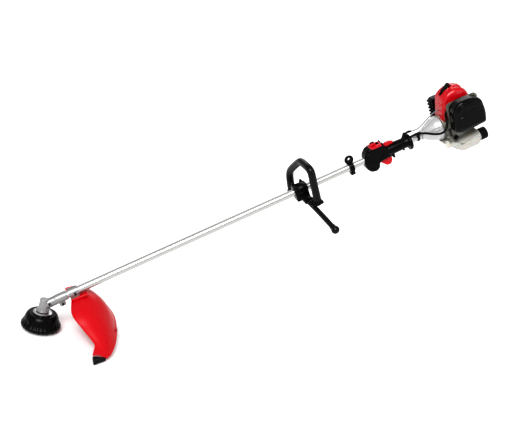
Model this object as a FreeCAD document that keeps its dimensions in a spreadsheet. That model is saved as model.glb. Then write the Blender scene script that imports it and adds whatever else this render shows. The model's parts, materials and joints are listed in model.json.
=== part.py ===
"""Loop-handled petrol brush cutter in its working attitude.

Millimetres.  The origin is the centre of the trimmer head's ground face, +Z is up along
the head's spin axis and +X runs from the head towards the engine.  The operator's left
is -Y.  The shaft tube rises from the gearcase at the stance angle.

Pieces along the tube are drawn in the tube's own frame (x along the tube from the point
where the tube axis meets the head axis, z square to it) and share one placement, STANCE.
"""
import FreeCAD, Part
import math
import os
import re
import Sketcher
from FreeCAD import Placement, Rotation, Vector

X_AXIS = Vector(1, 0, 0)
Y_AXIS = Vector(0, 1, 0)
Z_AXIS = Vector(0, 0, 1)

# Driving dimensions: alias, value, what it is.
SIZES = (
    ("stance_angle", 30.0, "rise of the tube above the ground"),
    ("gear_height", 88.0, "height of the bevel gears' apex above the ground face"),
    ("tube_diameter", 26.0, "shaft tube, outside"),
    ("tube_wall", 1.6, "shaft tube wall"),
    ("tube_length", 1444.0, "shaft tube length"),
    ("drive_diameter", 8.0, "drive shaft and crank nose"),
    ("output_diameter", 10.0, "output shaft, M10 at the head"),
    ("running_gap", 0.05, "radial clearance of running and push fits"),
    ("bell_rim_radius", 68.0, "trimmer head rim"),
    ("bell_top_radius", 48.0, "trimmer head shoulder"),
    ("flange_radius", 32.5, "shaft flange above the head"),
    ("tap_travel", 8.0, "travel of the tap knob"),
    ("loop_grip_diameter", 28.0, "loop handle grip"),
    ("bar_diameter", 19.0, "barrier bar"),
    ("knob_diameter", 29.0, "ball on the barrier bar"),
    ("eye_bore", 11.0, "harness eye bore"),
    ("eye_diameter", 34.0, "harness eye outside"),
    ("clamp_wall", 6.0, "wall of the tube clamps"),
    ("grip_radius", 21.0, "throttle grip barrel"),
    ("cable_diameter", 9.0, "throttle cable sleeve"),
    ("wire_diameter", 4.0, "stop wire"),
    ("bolt_diameter", 5.0, "clamp bolts, M5"),
    ("clutch_radius", 36.0, "clutch drum outside"),
    ("crank_diameter", 16.0, "crankshaft journals"),
    ("cylinder_bore", 39.0, "engine bore"),
    ("flywheel_radius", 46.0, "flywheel"),
    ("starter_radius", 54.0, "recoil starter housing"),
    ("pulley_radius", 30.0, "recoil pulley"),
    ("cap_radius", 22.0, "fuel cap"),
)

doc = FreeCAD.newDocument("BrushCutter")
sheet = doc.addObject("Spreadsheet::Sheet", "Sizes")
for row, (alias, value, meaning) in enumerate(SIZES, start=1):
    sheet.set("A%d" % row, meaning)
    sheet.set("B%d" % row, str(value))
    sheet.setAlias("B%d" % row, alias)
doc.recompute()
SIZE = {alias: value for alias, value, meaning in SIZES}

STANCE = Placement(Vector(0, 0, SIZE["gear_height"]),
                   Rotation(Y_AXIS, -SIZE["stance_angle"]))
UPRIGHT = Placement()
# The head's spin axis seen from the tube's frame, where the recoil rope is pulled.
PLUMB = STANCE.Rotation.inverted().multVec(Z_AXIS)
SUBPARTS = []


# ---------------------------------------------------------------- construction helpers

def bind(obj, prop, value):
    """Set a size: text is an expression in the sheet's words, a number is itself."""
    if isinstance(value, str):
        obj.setExpression(prop, re.sub(r"[a-z][a-z_]+", r"Sizes.\g<0>", value))
    else:
        setattr(obj, prop, value)


def subpart(label, obj, placement=STANCE):
    """Name a finished piece and stand it in the machine."""
    doc.recompute()
    obj.Label = label
    obj.Placement = placement.multiply(obj.Placement)
    SUBPARTS.append(obj)
    return obj


def toward(x, y, z, axis):
    return Placement(Vector(x, y, z), Rotation(Z_AXIS, axis))


def rod(radius, length, x, y, z, axis=X_AXIS):
    obj = doc.addObject("Part::Cylinder", "Rod")
    bind(obj, "Radius", radius)
    bind(obj, "Height", length)
    obj.Placement = toward(x, y, z, axis)
    return obj


def cone(radius_low, radius_high, length, x, y, z, axis=X_AXIS):
    obj = doc.addObject("Part::Cone", "Cone")
    bind(obj, "Radius1", radius_low)
    bind(obj, "Radius2", radius_high)
    bind(obj, "Height", length)
    obj.Placement = toward(x, y, z, axis)
    return obj


def ball(radius, x, y, z):
    obj = doc.addObject("Part::Sphere", "Ball")
    bind(obj, "Radius", radius)
    obj.Placement = toward(x, y, z, Z_AXIS)
    return obj


def block(x_low, x_high, y_low, y_high, z_low, z_high):
    obj = doc.addObject("Part::Box", "Block")
    obj.Length = x_high - x_low
    obj.Width = y_high - y_low
    obj.Height = z_high - z_low
    obj.Placement = Placement(Vector(x_low, y_low, z_low), Rotation())
    return obj


def fuse(*pieces):
    obj = doc.addObject("Part::MultiFuse", "Union")
    obj.Shapes = list(pieces)
    return obj


def cut(base, *tools):
    obj = doc.addObject("Part::Cut", "Difference")
    obj.Base = base
    obj.Tool = tools[0] if len(tools) == 1 else fuse(*tools)
    return obj


def common(one, other):
    obj = doc.addObject("Part::Common", "Common")
    obj.Base = one
    obj.Tool = other
    return obj


def group(*pieces):
    """Separate solids that share one node."""
    obj = doc.addObject("Part::Compound", "Group")
    obj.Links = list(pieces)
    return obj


def rounded(base, radius, wanted=None):
    """Fillet a piece's edges, all of them or the ones that `wanted` picks."""
    doc.recompute()
    obj = doc.addObject("Part::Fillet", "Rounded")
    obj.Base = base
    edges = base.Shape.Edges
    obj.Edges = [(number, radius, radius) for number, edge in enumerate(edges, start=1)
                 if wanted is None or wanted(edge)]
    return obj


def runs_along(axis):
    """An edge test: straight edges parallel to the axis."""
    def test(edge):
        chord = edge.Vertexes[-1].Point - edge.Vertexes[0].Point
        if chord.Length < 1e-6:
            return False
        return abs(chord.normalize().dot(axis)) > 0.999
    return test


def origin_plane(body, role):
    return next(f for f in body.Origin.OriginFeatures if f.Role == role)


def outline_body(name, points, role="XZ_Plane"):
    """A body with one closed polygon sketch, each corner driven by the sheet."""
    body = doc.addObject("PartDesign::Body", name)
    sketch = body.newObject("Sketcher::SketchObject", name + "Outline")
    sketch.AttachmentSupport = [(origin_plane(body, role), "")]
    sketch.MapMode = "FlatFace"
    count = len(points)
    start = [Vector(*[0.0 if isinstance(p, str) else p for p in point], 0)
             for point in points]
    # Corners bound to the sheet need a rough place first, or the polygon may fold.
    for index, point in enumerate(points):
        for side, value in enumerate(point):
            if isinstance(value, str):
                start[index][side] = rough(value)
    for index in range(count):
        line = Part.LineSegment(start[index], start[(index + 1) % count])
        sketch.addGeometry(line, False)
    for index in range(count):
        join = Sketcher.Constraint("Coincident", index, 2, (index + 1) % count, 1)
        sketch.addConstraint(join)
    for index, point in enumerate(points):
        for kind, side in (("DistanceX", 0), ("DistanceY", 1)):
            place = start[index][side]
            number = sketch.addConstraint(
                Sketcher.Constraint(kind, -1, 1, index, 1, place))
            if isinstance(point[side], str):
                bind(sketch, "Constraints[%d]" % number, point[side])
    return body, sketch


def rough(text):
    """The value of a sum of sheet words and numbers, such as 'tube_diameter / 2 + 0.05'."""
    total = 0.0
    sign = 1.0
    for term in re.findall(r"[+-]|[^+-]+", text):
        term = term.strip()
        if term in ("+", "-"):
            sign = 1.0 if term == "+" else -1.0
            continue
        factors = [f.strip() for f in re.split(r"([*/])", term)]
        amount = word_value(factors[0])
        for operator, factor in zip(factors[1::2], factors[2::2]):
            amount = amount * word_value(factor) if operator == "*" else amount / word_value(factor)
        total += sign * amount
    return total


def word_value(word):
    return SIZE[word] if word in SIZE else float(word)


def turned(name, points, along="Z"):
    """A turned piece: corners are (radius, height) about Z, or (distance, radius) about X."""
    body, sketch = outline_body(name, points)
    spin = body.newObject("PartDesign::Revolution", name + "Turned")
    spin.Profile = sketch
    spin.ReferenceAxis = (sketch, ["V_Axis" if along == "Z" else "H_Axis"])
    spin.Angle = 360.0
    body.Tip = spin
    return body


def plate(name, points, y_low, y_high):
    """A flat piece: an outline in the XZ plane pushed from y_low to y_high."""
    wire = Part.makePolygon([Vector(x, y_low, z) for x, z in points + points[:1]])
    obj = doc.addObject("Part::Feature", name)
    obj.Shape = Part.Face(wire).extrude(Vector(0, y_high - y_low, 0))
    return obj


def rounded_path(points, radii):
    """Straight runs through the points, joined by tangent arcs of the given radii."""
    points = [Vector(*p) for p in points]
    edges = []
    here = points[0]
    for before, corner, after, radius in zip(points, points[1:], points[2:], radii):
        arriving = (corner - before).normalize()
        leaving = (after - corner).normalize()
        turn = arriving.getAngle(leaving)
        reach = radius * math.tan(turn / 2)
        start = corner - arriving * reach
        end = corner + leaving * reach
        inward = (leaving - arriving).normalize()
        centre = corner + inward * (radius / math.cos(turn / 2))
        middle = centre - inward * radius
        edges.append(Part.LineSegment(here, start).toShape())
        edges.append(Part.Arc(start, middle, end).toShape())
        here = end
    edges.append(Part.LineSegment(here, points[-1]).toShape())
    return Part.Wire(edges)


def largest_arcs(points):
    """The largest arc that each corner's two runs allow."""
    points = [Vector(*p) for p in points]
    radii = []
    for before, corner, after in zip(points, points[1:], points[2:]):
        turn = (corner - before).getAngle(after - corner)
        run = min((corner - before).Length, (after - corner).Length)
        radii.append(0.45 * run / math.tan(turn / 2))
    return radii


def bent_rod(name, diameter, points, radii=None):
    """A round bar swept along a route of straight runs and arcs."""
    route = rounded_path(points, radii or largest_arcs(points))
    start = Vector(*points[0])
    section = Part.makeCircle(diameter / 2, start, Vector(*points[1]) - start)
    obj = doc.addObject("Part::Feature", name)
    obj.Shape = route.makePipeShell([Part.Wire(section)], True, False)
    drawn = math.pi * diameter ** 2 / 4 * route.Length
    if abs(obj.Shape.Volume / drawn - 1) > 0.02:
        raise RuntimeError(name + ": the swept volume doesn't match its length")
    return obj


def bevel_teeth(name, count, pitch_cone, first):
    """Straight bevel teeth on cones about +X whose apex is the gears' crossing point.

    pitch_cone is the pitch cone's half angle and first the angle of one tooth's middle
    about the axis, both in degrees.
    """
    step = 360.0 / count
    corners = ((-8.0, -0.30), (4.0, -0.13), (4.0, 0.13), (-8.0, 0.30))
    teeth = []
    for number in range(count):
        middle = first + number * step
        wires = []
        for cone_distance in (9.0, 14.0):
            ring = []
            for lift, share in corners:
                angle = math.radians(middle + share * step)
                slope = math.radians(pitch_cone + lift)
                radius = cone_distance * math.sin(slope)
                ring.append(Vector(cone_distance * math.cos(slope),
                                   radius * math.cos(angle), radius * math.sin(angle)))
            wires.append(Part.makePolygon(ring + ring[:1]))
        teeth.append(Part.makeLoft(wires, True, True))
    obj = doc.addObject("Part::Feature", name)
    obj.Shape = teeth[0].multiFuse(teeth[1:])
    return obj


# ------------------------------------------------------------------------ trimmer head

def head_housing():
    """Bell-shaped line head, open below, with two eyelet holes through its wall."""
    bore = "output_diameter / 2 + running_gap"
    bell = turned("Bell", [
        (bore, 60.0), (44.0, 60.0), ("bell_top_radius + 3", 57.5), (57.0, 45.0),
        (60.5, 32.0), ("bell_rim_radius", 21.0), ("bell_rim_radius", 12.0), (64.0, 8.0),
        (57.5, 8.0), (57.5, 14.0), (63.0, 15.0), (63.0, 19.0), (56.0, 30.0),
        (52.0, 44.0), ("bell_top_radius", 54.0), (9.0, 54.0), (9.0, 46.0), (bore, 46.0)])
    holes = [rod(4.0, 30.0, 40 * math.cos(a), 40 * math.sin(a), 38.0,
                 Vector(math.cos(a), math.sin(a), 0)) for a in EYELET_ANGLES]
    subpart("head_housing", cut(bell, *holes), UPRIGHT)


EYELET_ANGLES = (math.radians(215), math.radians(35))


def head_cover():
    """Ring that closes the bell and leaves the tap knob proud."""
    subpart("head_cover", turned("HeadCover", [
        (27.5, 9.0), (57.3, 9.0), (57.3, 14.0), (27.5, 14.0)]), UPRIGHT)


def head_spool():
    subpart("head_spool", turned("Spool", [
        (8.0, 18.0), (47.0, 18.0), (47.0, 21.0), (20.0, 21.0), (20.0, 41.0),
        (46.0, 41.0), (46.0, 44.0), (15.0, 44.0), (15.0, 30.0), (8.0, 30.0)]), UPRIGHT)


def wound_line():
    """The cutting line on the spool, as one wound ring."""
    subpart("wound_line", turned("WoundLine", [
        (20.1, 21.1), (40.0, 21.1), (40.0, 40.9), (20.1, 40.9)]), UPRIGHT)


def tap_knob():
    """Ground knob; pushing it up lets line out."""
    subpart("tap_knob", turned("TapKnob", [
        (0.0, 0.0), (18.0, 0.0), (24.0, 3.0), (25.5, 8.0), (25.5, 17.9), (7.9, 17.9),
        (7.9, 29.0), (0.0, 29.0)]), UPRIGHT)


def head_spring():
    """Coil spring between the bell and the spool."""
    radius, wire, low, high = 11.5, 1.8, 31.2, 52.8
    helix = Part.makeHelix((high - low) / 4.5, high - low, radius)
    section = Part.makeCircle(wire / 2, Vector(radius, 0, 0), Y_AXIS)
    obj = doc.addObject("Part::Feature", "Coil")
    obj.Shape = Part.Wire(helix.Edges).makePipeShell([Part.Wire(section)], True, True)
    subpart("head_spring", obj, Placement(Vector(0, 0, low), Rotation()))


def line_eyelets():
    """Two steel eyelets where the line leaves the bell."""
    eyelets = []
    for angle in EYELET_ANGLES:
        out = Vector(math.cos(angle), math.sin(angle), 0)
        foot = out * 53.0
        lip = out * 60.8
        tube = fuse(rod(3.95, 8.0, foot.x, foot.y, 38.0, out),
                    rod(5.5, 1.8, lip.x, lip.y, 38.0, out))
        eyelets.append(cut(tube, rod(1.6, 12.0, foot.x, foot.y, 38.0, out)))
    subpart("line_eyelets", group(*eyelets), UPRIGHT)


def output_shaft():
    """Output shaft, threaded below into the head, with the flange the head seats on."""
    radius = "output_diameter / 2"
    subpart("output_shaft", turned("OutputShaft", [
        (0.0, 46.5), (radius, 46.5), (radius, 60.1), (31.0, 60.1),
        ("flange_radius", 61.5), ("flange_radius", 63.0), (25.0, 65.5), (12.5, 65.5),
        (12.5, 67.9), (radius, 67.9), (radius, 84.7), (0.0, 84.7)]), UPRIGHT)


# ---------------------------------------------------------------------------- gearcase

GEAR_TEETH = 19
PINION_TEETH = 14
SHAFT_ANGLE = math.radians(90.0 + SIZE["stance_angle"])
PINION_CONE = math.degrees(math.atan2(
    math.sin(SHAFT_ANGLE), GEAR_TEETH / PINION_TEETH + math.cos(SHAFT_ANGLE)))
GEAR_CONE = math.degrees(SHAFT_ANGLE) - PINION_CONE


def gearcase():
    """Cast angle housing: a tapered post over the head and an arm that clamps the tube."""
    post = cone(21.5, 15.5, 45.0, 0, 0, 67.0, Z_AXIS)
    arm = rod(15.5, 86.0, 0, 0, 0)
    lug = block(50, 72, -9, 9, -30, -12)
    outside = fuse(arm, lug)
    outside.Placement = STANCE
    shell = fuse(post, outside)
    tube_bore = rod("tube_diameter / 2 + running_gap", 54.0, 34, 0, 0)
    pinion_room = rod(11.6, 12.0, 2.0, 0, 0)
    bearing_bore = rod(11.02, 17.0, 13.5, 0, 0)
    neck = rod(9.0, 10.0, 28.0, 0, 0)
    slit = block(45, 88, -1.2, 1.2, -31, -10)
    bolt_hole = rod("bolt_diameter / 2 + running_gap", 30.0, 61, -15, -22, Y_AXIS)
    along_tube = fuse(tube_bore, pinion_room, bearing_bore, neck, slit, bolt_hole)
    along_tube.Placement = STANCE
    gear_room = rod(16.5, 15.0, 0, 0, 77.0, Z_AXIS)
    bearing_seat = rod(16.02, 10.0, 0, 0, 68.0, Z_AXIS)
    mouth = rod(13.5, 2.0, 0, 0, 66.5, Z_AXIS)
    subpart("gearcase", cut(shell, along_tube, gear_room, bearing_seat, mouth), UPRIGHT)


def ring(outer, inner, length, x, y, z, axis=X_AXIS):
    return cut(rod(outer, length, x, y, z, axis), rod(inner, length, x, y, z, axis))


def bearings():
    """The output shaft's double-row bearing, the pinion's pair and the clutch drum's."""
    output = ring(16.0, "output_diameter / 2 + running_gap", 8.6, 0, 0, 68.3, Z_AXIS)
    pinion = group(*[ring(11.0, "drive_diameter / 2 + running_gap", 7.0, x, 0, 0)
                     for x in (14.2, 22.5)])
    clutch = ring(16.0, 9.05, 9.0, 1488, 0, 0)
    along_tube = group(pinion, clutch)
    along_tube.Placement = STANCE
    subpart("bearings", group(output, along_tube), UPRIGHT)


def driven_gear():
    """Bevel gear on the output shaft, facing up towards the pinion."""
    hub = turned("GearHub", [
        ("output_diameter / 2 + running_gap", -10.4), (13.0, -10.4), (13.04, -5.1),
        (8.4, -3.3), ("output_diameter / 2 + running_gap", -3.3)])
    teeth = bevel_teeth("GearTeeth", GEAR_TEETH, GEAR_CONE, 90.0)
    teeth.Placement = Placement(Vector(), Rotation(Y_AXIS, 90))
    subpart("driven_gear", fuse(hub, teeth),
            Placement(Vector(0, 0, SIZE["gear_height"]), Rotation()))


def drive_pinion():
    """Bevel pinion with a socket for the drive shaft behind it."""
    blank = turned("PinionBlank", [
        (6.96, 0.0), (6.96, 5.7), (10.83, 8.87), (13.2, 8.87),
        (13.2, "drive_diameter / 2"), (30.0, "drive_diameter / 2"), (30.0, 7.0),
        (44.0, 7.0), (44.0, "drive_diameter / 2 + running_gap"),
        (31.5, "drive_diameter / 2 + running_gap"), (31.5, 0.0)], along="X")
    # One gap faces the gear's tooth on the line where the two pitch cones touch.
    teeth = bevel_teeth("PinionTeeth", PINION_TEETH, PINION_CONE,
                        -90.0 + 180.0 / PINION_TEETH)
    subpart("drive_pinion", fuse(blank, teeth))


# ------------------------------------------------------------------- tube and its shaft

def main_tube():
    body = doc.addObject("PartDesign::Body", "Tube")
    sketch = body.newObject("Sketcher::SketchObject", "TubeSection")
    sketch.AttachmentSupport = [(origin_plane(body, "YZ_Plane"), "")]
    sketch.MapMode = "FlatFace"
    for radius in ("tube_diameter / 2", "tube_diameter / 2 - tube_wall"):
        circle = sketch.addGeometry(Part.Circle(Vector(), Z_AXIS, rough(radius)), False)
        sketch.addConstraint(Sketcher.Constraint("Coincident", circle, 3, -1, 1))
        number = sketch.addConstraint(
            Sketcher.Constraint("Radius", circle, rough(radius)))
        bind(sketch, "Constraints[%d]" % number, radius)
    pad = body.newObject("PartDesign::Pad", "TubePad")
    pad.Profile = sketch
    bind(pad, "Length", "tube_length")
    body.Tip = pad
    start = STANCE.multiply(Placement(Vector(38.0, 0, 0), Rotation()))
    subpart("main_tube", body, start)


def drive_shaft():
    subpart("drive_shaft", rod("drive_diameter / 2", 1472.0, 31.6, 0, 0))


def tube_bushes():
    """Bushes that carry the drive shaft inside the tube."""
    bushes = [ring("tube_diameter / 2 - tube_wall - running_gap",
                   "drive_diameter / 2 + running_gap", 24.0, 120.0 + 245.0 * n, 0, 0)
              for n in range(6)]
    subpart("tube_bushes", group(*bushes))


# ------------------------------------------------------------------------------- guard

# Sections across the guard, from its right end to its left: a point on the edge beside
# the head, a point on the outer rim, and how far the shell bulges up between them.
GUARD_SECTIONS = (
    ((88, 95, 110), (150, 100, 116), 5.0),
    ((86, 60, 114), (205, 70, 92), 28.0),
    ((92, 0, 114), (246, 0, 62), 44.0),
    ((86, -68, 92), (244, -80, 44), 38.0),
    ((116, -120, 66), (227, -150, 31), 24.0),
    ((150, -172, 40), (204, -200, 19), 12.0),
    ((146, -196, 24), (194, -212, 16), 9.0),
    ((140, -212, 18), (183, -223, 14), 6.0),
)
GUARD_WALL = 3.2


def guard_outline(inner, outer, bulge):
    """Closed section: the crowned upper line and the same line one wall lower."""
    inner, outer = Vector(*inner), Vector(*outer)
    upper = []
    for share in (0.0, 0.2, 0.4, 0.6, 0.8, 1.0):
        rise = 4 * bulge * share * (1 - share)
        upper.append(inner + (outer - inner) * share + Z_AXIS * rise)
    lower = [p - Z_AXIS * GUARD_WALL for p in reversed(upper)]
    return Part.makePolygon(upper + lower + upper[:1])


def guard():
    """Moulded deflector: a dished shell that droops to the operator's left."""
    shell = doc.addObject("Part::Feature", "GuardShell")
    shell.Shape = Part.makeLoft([guard_outline(*s) for s in GUARD_SECTIONS], True, True)
    boss = block(98, 144, -15, 15, -36, -22.2)
    boss.Placement = STANCE.multiply(boss.Placement)
    holes = fuse(*[rod(2.6, 40.0, x, 0, -60, Z_AXIS) for x in (106, 136)],
                 *[rod(4.6, 60.0, x, 0, -96.05, Z_AXIS) for x in (106, 136)])
    holes.Placement = STANCE
    subpart("guard", cut(fuse(shell, boss), holes), UPRIGHT)


def guard_tip():
    """Soft black corner at the guard's left end."""
    corners = [Vector(140, -212.8, 15), Vector(183, -223.8, 11), Vector(133, -255, 3)]
    obj = doc.addObject("Part::Feature", "TipWedge")
    obj.Shape = Part.Face(Part.makePolygon(corners + corners[:1])).extrude(Vector(0, 0, 3.4))
    subpart("guard_tip", obj, UPRIGHT)


def line_cutter():
    """Steel blade on the guard's rim that trims the line to length."""
    blade = block(0.4, 2.4, -15, 15, -9, 13)
    subpart("line_cutter", blade, Placement(Vector(247, -80, 36), Rotation(Z_AXIS, -12)))


def guard_bracket():
    """Clamp round the tube with a flat under it that the guard bolts to."""
    collar = rod(18.0, 34.0, 92, 0, 0)
    flat = block(92, 150, -19, 19, -22, -17)
    web = block(92, 126, -14, 14, -19, 0)
    bore = rod("tube_diameter / 2 + running_gap", 64.0, 90, 0, 0)
    slit = block(90, 152, -1.0, 1.0, 0, 30)
    holes = [rod(2.6, 12.0, x, 0, -26, Z_AXIS) for x in (106, 136)]
    side = rod(2.6, 12.0, 113, -22, 0, Y_AXIS)
    subpart("guard_bracket", cut(fuse(collar, flat, web), bore, slit, side, *holes))


def socket_screw(x, y, z, axis, length, radius=2.5):
    """Cap screw whose head's underside is at the point and whose shank runs along axis."""
    shank = rod(radius, length, x, y, z, axis)
    top = Vector(x, y, z) - axis * radius * 1.6
    head = rod(radius * 1.7, radius * 1.6, top.x, top.y, top.z, axis)
    recess = rod(radius * 0.9, radius, top.x, top.y, top.z, axis)
    return cut(fuse(shank, head), recess)



# ------------------------------------------------------- front handle and barrier bar

LOOP_ROUTE = ((961, 72, -33), (975, 77, 40), (1008, 2, 104), (1012, -74, 98),
              (1004, -80, -33))
LOOP_ARCS = (40.0, 50.0, 34.0)
BAR_ROUTE = ((976, -22, -22), (988, -88, -48), (1004, -190, -88))


def loop_clamp():
    """Upper half of the front handle's clamp."""
    saddle = rounded(block(950, 1000, -22, 22, 0.4, 24), 6.0, runs_along(X_AXIS))
    bore = rod("tube_diameter / 2 + running_gap", 60.0, 945, 0, 0)
    holes = [rod(2.6, 40.0, x, y, -5, Z_AXIS) for x in (960, 990) for y in (-17.5, 17.5)]
    subpart("loop_clamp", cut(saddle, bore, *holes))


def loop_base():
    """Lower half of the clamp, with the cross arm that carries the loop's feet."""
    saddle = block(950, 1000, -22, 22, -30, -0.4)
    near = Vector(*LOOP_ROUTE[-1])
    far = Vector(*LOOP_ROUTE[0])
    span = near - far
    arm = block(-13, 13, -14, span.Length + 14, -38, -30)
    turn = math.degrees(math.atan2(-span.y, -span.x)) + 90
    arm.Placement = Placement(Vector(far.x, far.y, 0), Rotation(Z_AXIS, turn)).multiply(
        arm.Placement)
    pad = block(978, 1024, -93, -67, -38, -30)
    bore = rod("tube_diameter / 2 + running_gap", 60.0, 945, 0, 0)
    holes = [rod(2.6, 50.0, x, y, -45, Z_AXIS) for x in (960, 990) for y in (-17.5, 17.5)]
    feet = [rod(3.1, 20.0, p.x, p.y, -45, Z_AXIS) for p in (near, far)]
    socket = bent_rod("BarSocket", SIZE["bar_diameter"] + 0.2, BAR_ROUTE)
    body = fuse(saddle, arm, pad, bar_collar())
    subpart("loop_base", cut(body, bore, socket, *(holes + feet)))


def bar_collar():
    """Boss on the clamp's near side that the barrier bar plugs into."""
    start, corner = Vector(*BAR_ROUTE[0]), Vector(*BAR_ROUTE[1])
    axis = (corner - start).normalize()
    foot = start - axis * 8
    return rod("bar_diameter / 2 + 4", 34.0, foot.x, foot.y, foot.z, axis)


def loop_grip():
    """The loop itself, with a threaded hole up each leg."""
    loop = bent_rod("Loop", SIZE["loop_grip_diameter"], LOOP_ROUTE, LOOP_ARCS)
    feet = [rod(3.0, 18.0, x, y, -31, Z_AXIS) for x, y, z in (LOOP_ROUTE[0], LOOP_ROUTE[-1])]
    below = block(900, 1100, -120, 120, -60, -29.9)
    subpart("loop_grip", cut(loop, below, *feet))


def barrier_bar():
    """Bar across the operator's left with a ball moulded on its end."""
    end, before = Vector(*BAR_ROUTE[-1]), Vector(*BAR_ROUTE[-2])
    centre = end + (end - before).normalize() * 7
    bar = bent_rod("Bar", SIZE["bar_diameter"], BAR_ROUTE)
    subpart("barrier_bar", fuse(bar, ball("knob_diameter / 2", centre.x, centre.y,
                                          centre.z)))


def clamp_bolts():
    """Cap screws of the gearcase, guard, front handle and harness clamp."""
    bolts = [socket_screw(x, y, 24.1, -Z_AXIS, 44.0)
             for x in (960, 990) for y in (-17.5, 17.5)]
    bolts += [socket_screw(x, -9.1, -22, Y_AXIS, 18.0) for x in (61, 1177)]
    bolts += [socket_screw(x, 0, -36.1, Z_AXIS, 19.0) for x in (106, 136)]
    bolts.append(socket_screw(113, -18.3, 0, Y_AXIS, 5.0))
    bolts += [socket_screw(x, y, -38.1, Z_AXIS, 22.0, 2.95)
              for x, y, z in (LOOP_ROUTE[0], LOOP_ROUTE[-1])]
    subpart("clamp_bolts", group(*bolts))


def harness_clamp():
    """Split clamp with the ring that the harness hook goes through."""
    collar = rod("tube_diameter / 2 + clamp_wall", 18.0, 1168, 0, 0)
    lug = block(1168, 1186, -9, 9, -30, -14)
    neck = block(1169, 1185, -4, 4, 12, 22)
    eye = rod("eye_diameter / 2", 8.0, 1177, -4, 29, Y_AXIS)
    bore = rod("tube_diameter / 2 + running_gap", 24.0, 1165, 0, 0)
    eye_hole = rod("eye_bore / 2", 12.0, 1177, -6, 33, Y_AXIS)
    slit = block(1165, 1190, -1.2, 1.2, -32, -10)
    bolt_hole = rod(2.6, 30.0, 1177, -15, -22, Y_AXIS)
    subpart("harness_clamp", cut(fuse(collar, lug, neck, eye), bore, eye_hole, slit,
                                 bolt_hole))


# ----------------------------------------------------------------------- throttle grip

TRIGGER_PIVOT = (1290.0, -25.0)
LOCKOUT_PIVOT = (1309.0, 21.0)
HALF_GAP = 0.1


def grip_half(label, side):
    """One moulded half of the rear grip; side is -1 for the operator's left."""
    head = plate("GripHead", [(1225, -8), (1232, 24), (1246, 40), (1262, 45), (1300, 43),
                              (1322, 20), (1322, -20), (1282, -24), (1276, -44),
                              (1262, -52), (1240, -46), (1228, -30)], -21, 21)
    head = rounded(head, 6.0, lambda e: abs(e.CenterOfMass.y) > 20.9)
    shroud = plate("TriggerShroud", [(1315, -15), (1342, -15), (1344, -34), (1338, -34),
                                     (1334, -24), (1315, -24)], -11, 11)
    barrel = rod("grip_radius", 94.0, 1312, 0, 0)
    flange = rod(30.0, 12.0, 1404, 0, -3)
    fin = block(1388, 1406, -6, 6, 15, 38)
    whole = fuse(head, barrel, flange, fin, shroud)
    bore = rod("tube_diameter / 2 + running_gap", 210.0, 1215, 0, 0)
    cavity = block(1240, 1276, -16, 16, -34, -12)
    switch_slot = block(1262, 1298, -9, 9, 36, 50)
    trigger_slot = block(1281, 1336, -8, 8, -60, -10)
    lockout_slot = block(1303, 1356, -6.5, 6.5, 10, 60)
    pins = [rod(2.05, 28.0, x, -14, z, Y_AXIS) for x, z in (TRIGGER_PIVOT, LOCKOUT_PIVOT)]
    cable_way = fuse(rod(5.2, 12.0, 1398, -10, 15),
                     bent_rod("CableWay", SIZE["cable_diameter"] + 1.0, CABLE_ROUTE))
    screws = [rod(2.1, 46.0, x, -23, z, Y_AXIS) for x, y, z in GRIP_SCREW_PLACES]
    screws += [rod(3.7, 12.0, x, y, z, -Y_AXIS) for x, y, z in GRIP_SCREW_PLACES]
    hollow = cut(whole, bore, cavity, switch_slot, trigger_slot, lockout_slot, cable_way,
                 *(pins + screws))
    if side < 0:
        half = block(1200, 1440, -60, -HALF_GAP, -80, 80)
    else:
        half = block(1200, 1440, HALF_GAP, 60, -80, 80)
    subpart(label, common(hollow, half))


GRIP_SCREW_PLACES = ((1245.0, -21.1, 28.0), (1257.0, -21.1, -42.0), (1380.0, -12.6, -17.0))


def throttle_trigger():
    blade = plate("TriggerBlade", [(1286, -21), (1294, -20), (1328, -24), (1333, -30),
                                   (1331, -44), (1322, -53), (1308, -52), (1298, -42),
                                   (1289, -33), (1286, -29)], -7, 7)
    pivot = rod(2.0, 27.0, TRIGGER_PIVOT[0], -13.5, TRIGGER_PIVOT[1], Y_AXIS)
    subpart("throttle_trigger", fuse(blade, pivot))


def trigger_lockout():
    """Lever on top of the grip that frees the trigger when the palm presses it."""
    lever = plate("LockoutLever", [(1304.5, 19), (1313, 17), (1350, 22), (1353, 25),
                                   (1349, 29), (1338, 33), (1322, 34), (1307, 27)],
                  -5.6, 5.6)
    pivot = rod(2.0, 27.0, LOCKOUT_PIVOT[0], -13.5, LOCKOUT_PIVOT[1], Y_AXIS)
    subpart("trigger_lockout", fuse(lever, pivot))


def stop_switch():
    """Sliding engine stop switch."""
    foot = block(1263, 1287, -8, 8, 37, 46)
    button = rounded(block(1265, 1285, -8, 8, 46, 56.5), 2.0, runs_along(Y_AXIS))
    subpart("stop_switch", fuse(foot, button))


# -------------------------------------------------------------------- cable and wire

CABLE_ROUTE = ((1404, -10, 15), (1428, -16, 24), (1462, -32, 22), (1496, -50, 6),
               (1522, -64, 6), (1539, -70, 27), (1543, -63, 52), (1549, -50.5, 72),
               (1571, -50.5, 84))
WIRE_ROUTE = ((1418, 2, 34), (1446, 4, 25), (1474, 8, 31), (1506, 10, 48),
              (1536, 8, 61), (1560, 6, 66))


def throttle_cable():
    subpart("throttle_cable", bent_rod("Cable", SIZE["cable_diameter"], CABLE_ROUTE))


def stop_wire():
    subpart("stop_wire", bent_rod("Wire", SIZE["wire_diameter"], WIRE_ROUTE))


def cable_clip():
    """Band round the tube with the saddle that holds the cable."""
    band = ring(16.0, "tube_diameter / 2 + running_gap", 9.0, 1441, 0, 0)
    saddle = block(1441, 1450, -30, -4, 10, 16)
    cable = bent_rod("ClipCable", SIZE["cable_diameter"] + 0.1, CABLE_ROUTE)
    bore = rod("tube_diameter / 2 + running_gap", 12.0, 1440, 0, 0)
    subpart("cable_clip", cut(fuse(band, saddle), cable, bore))


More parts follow.
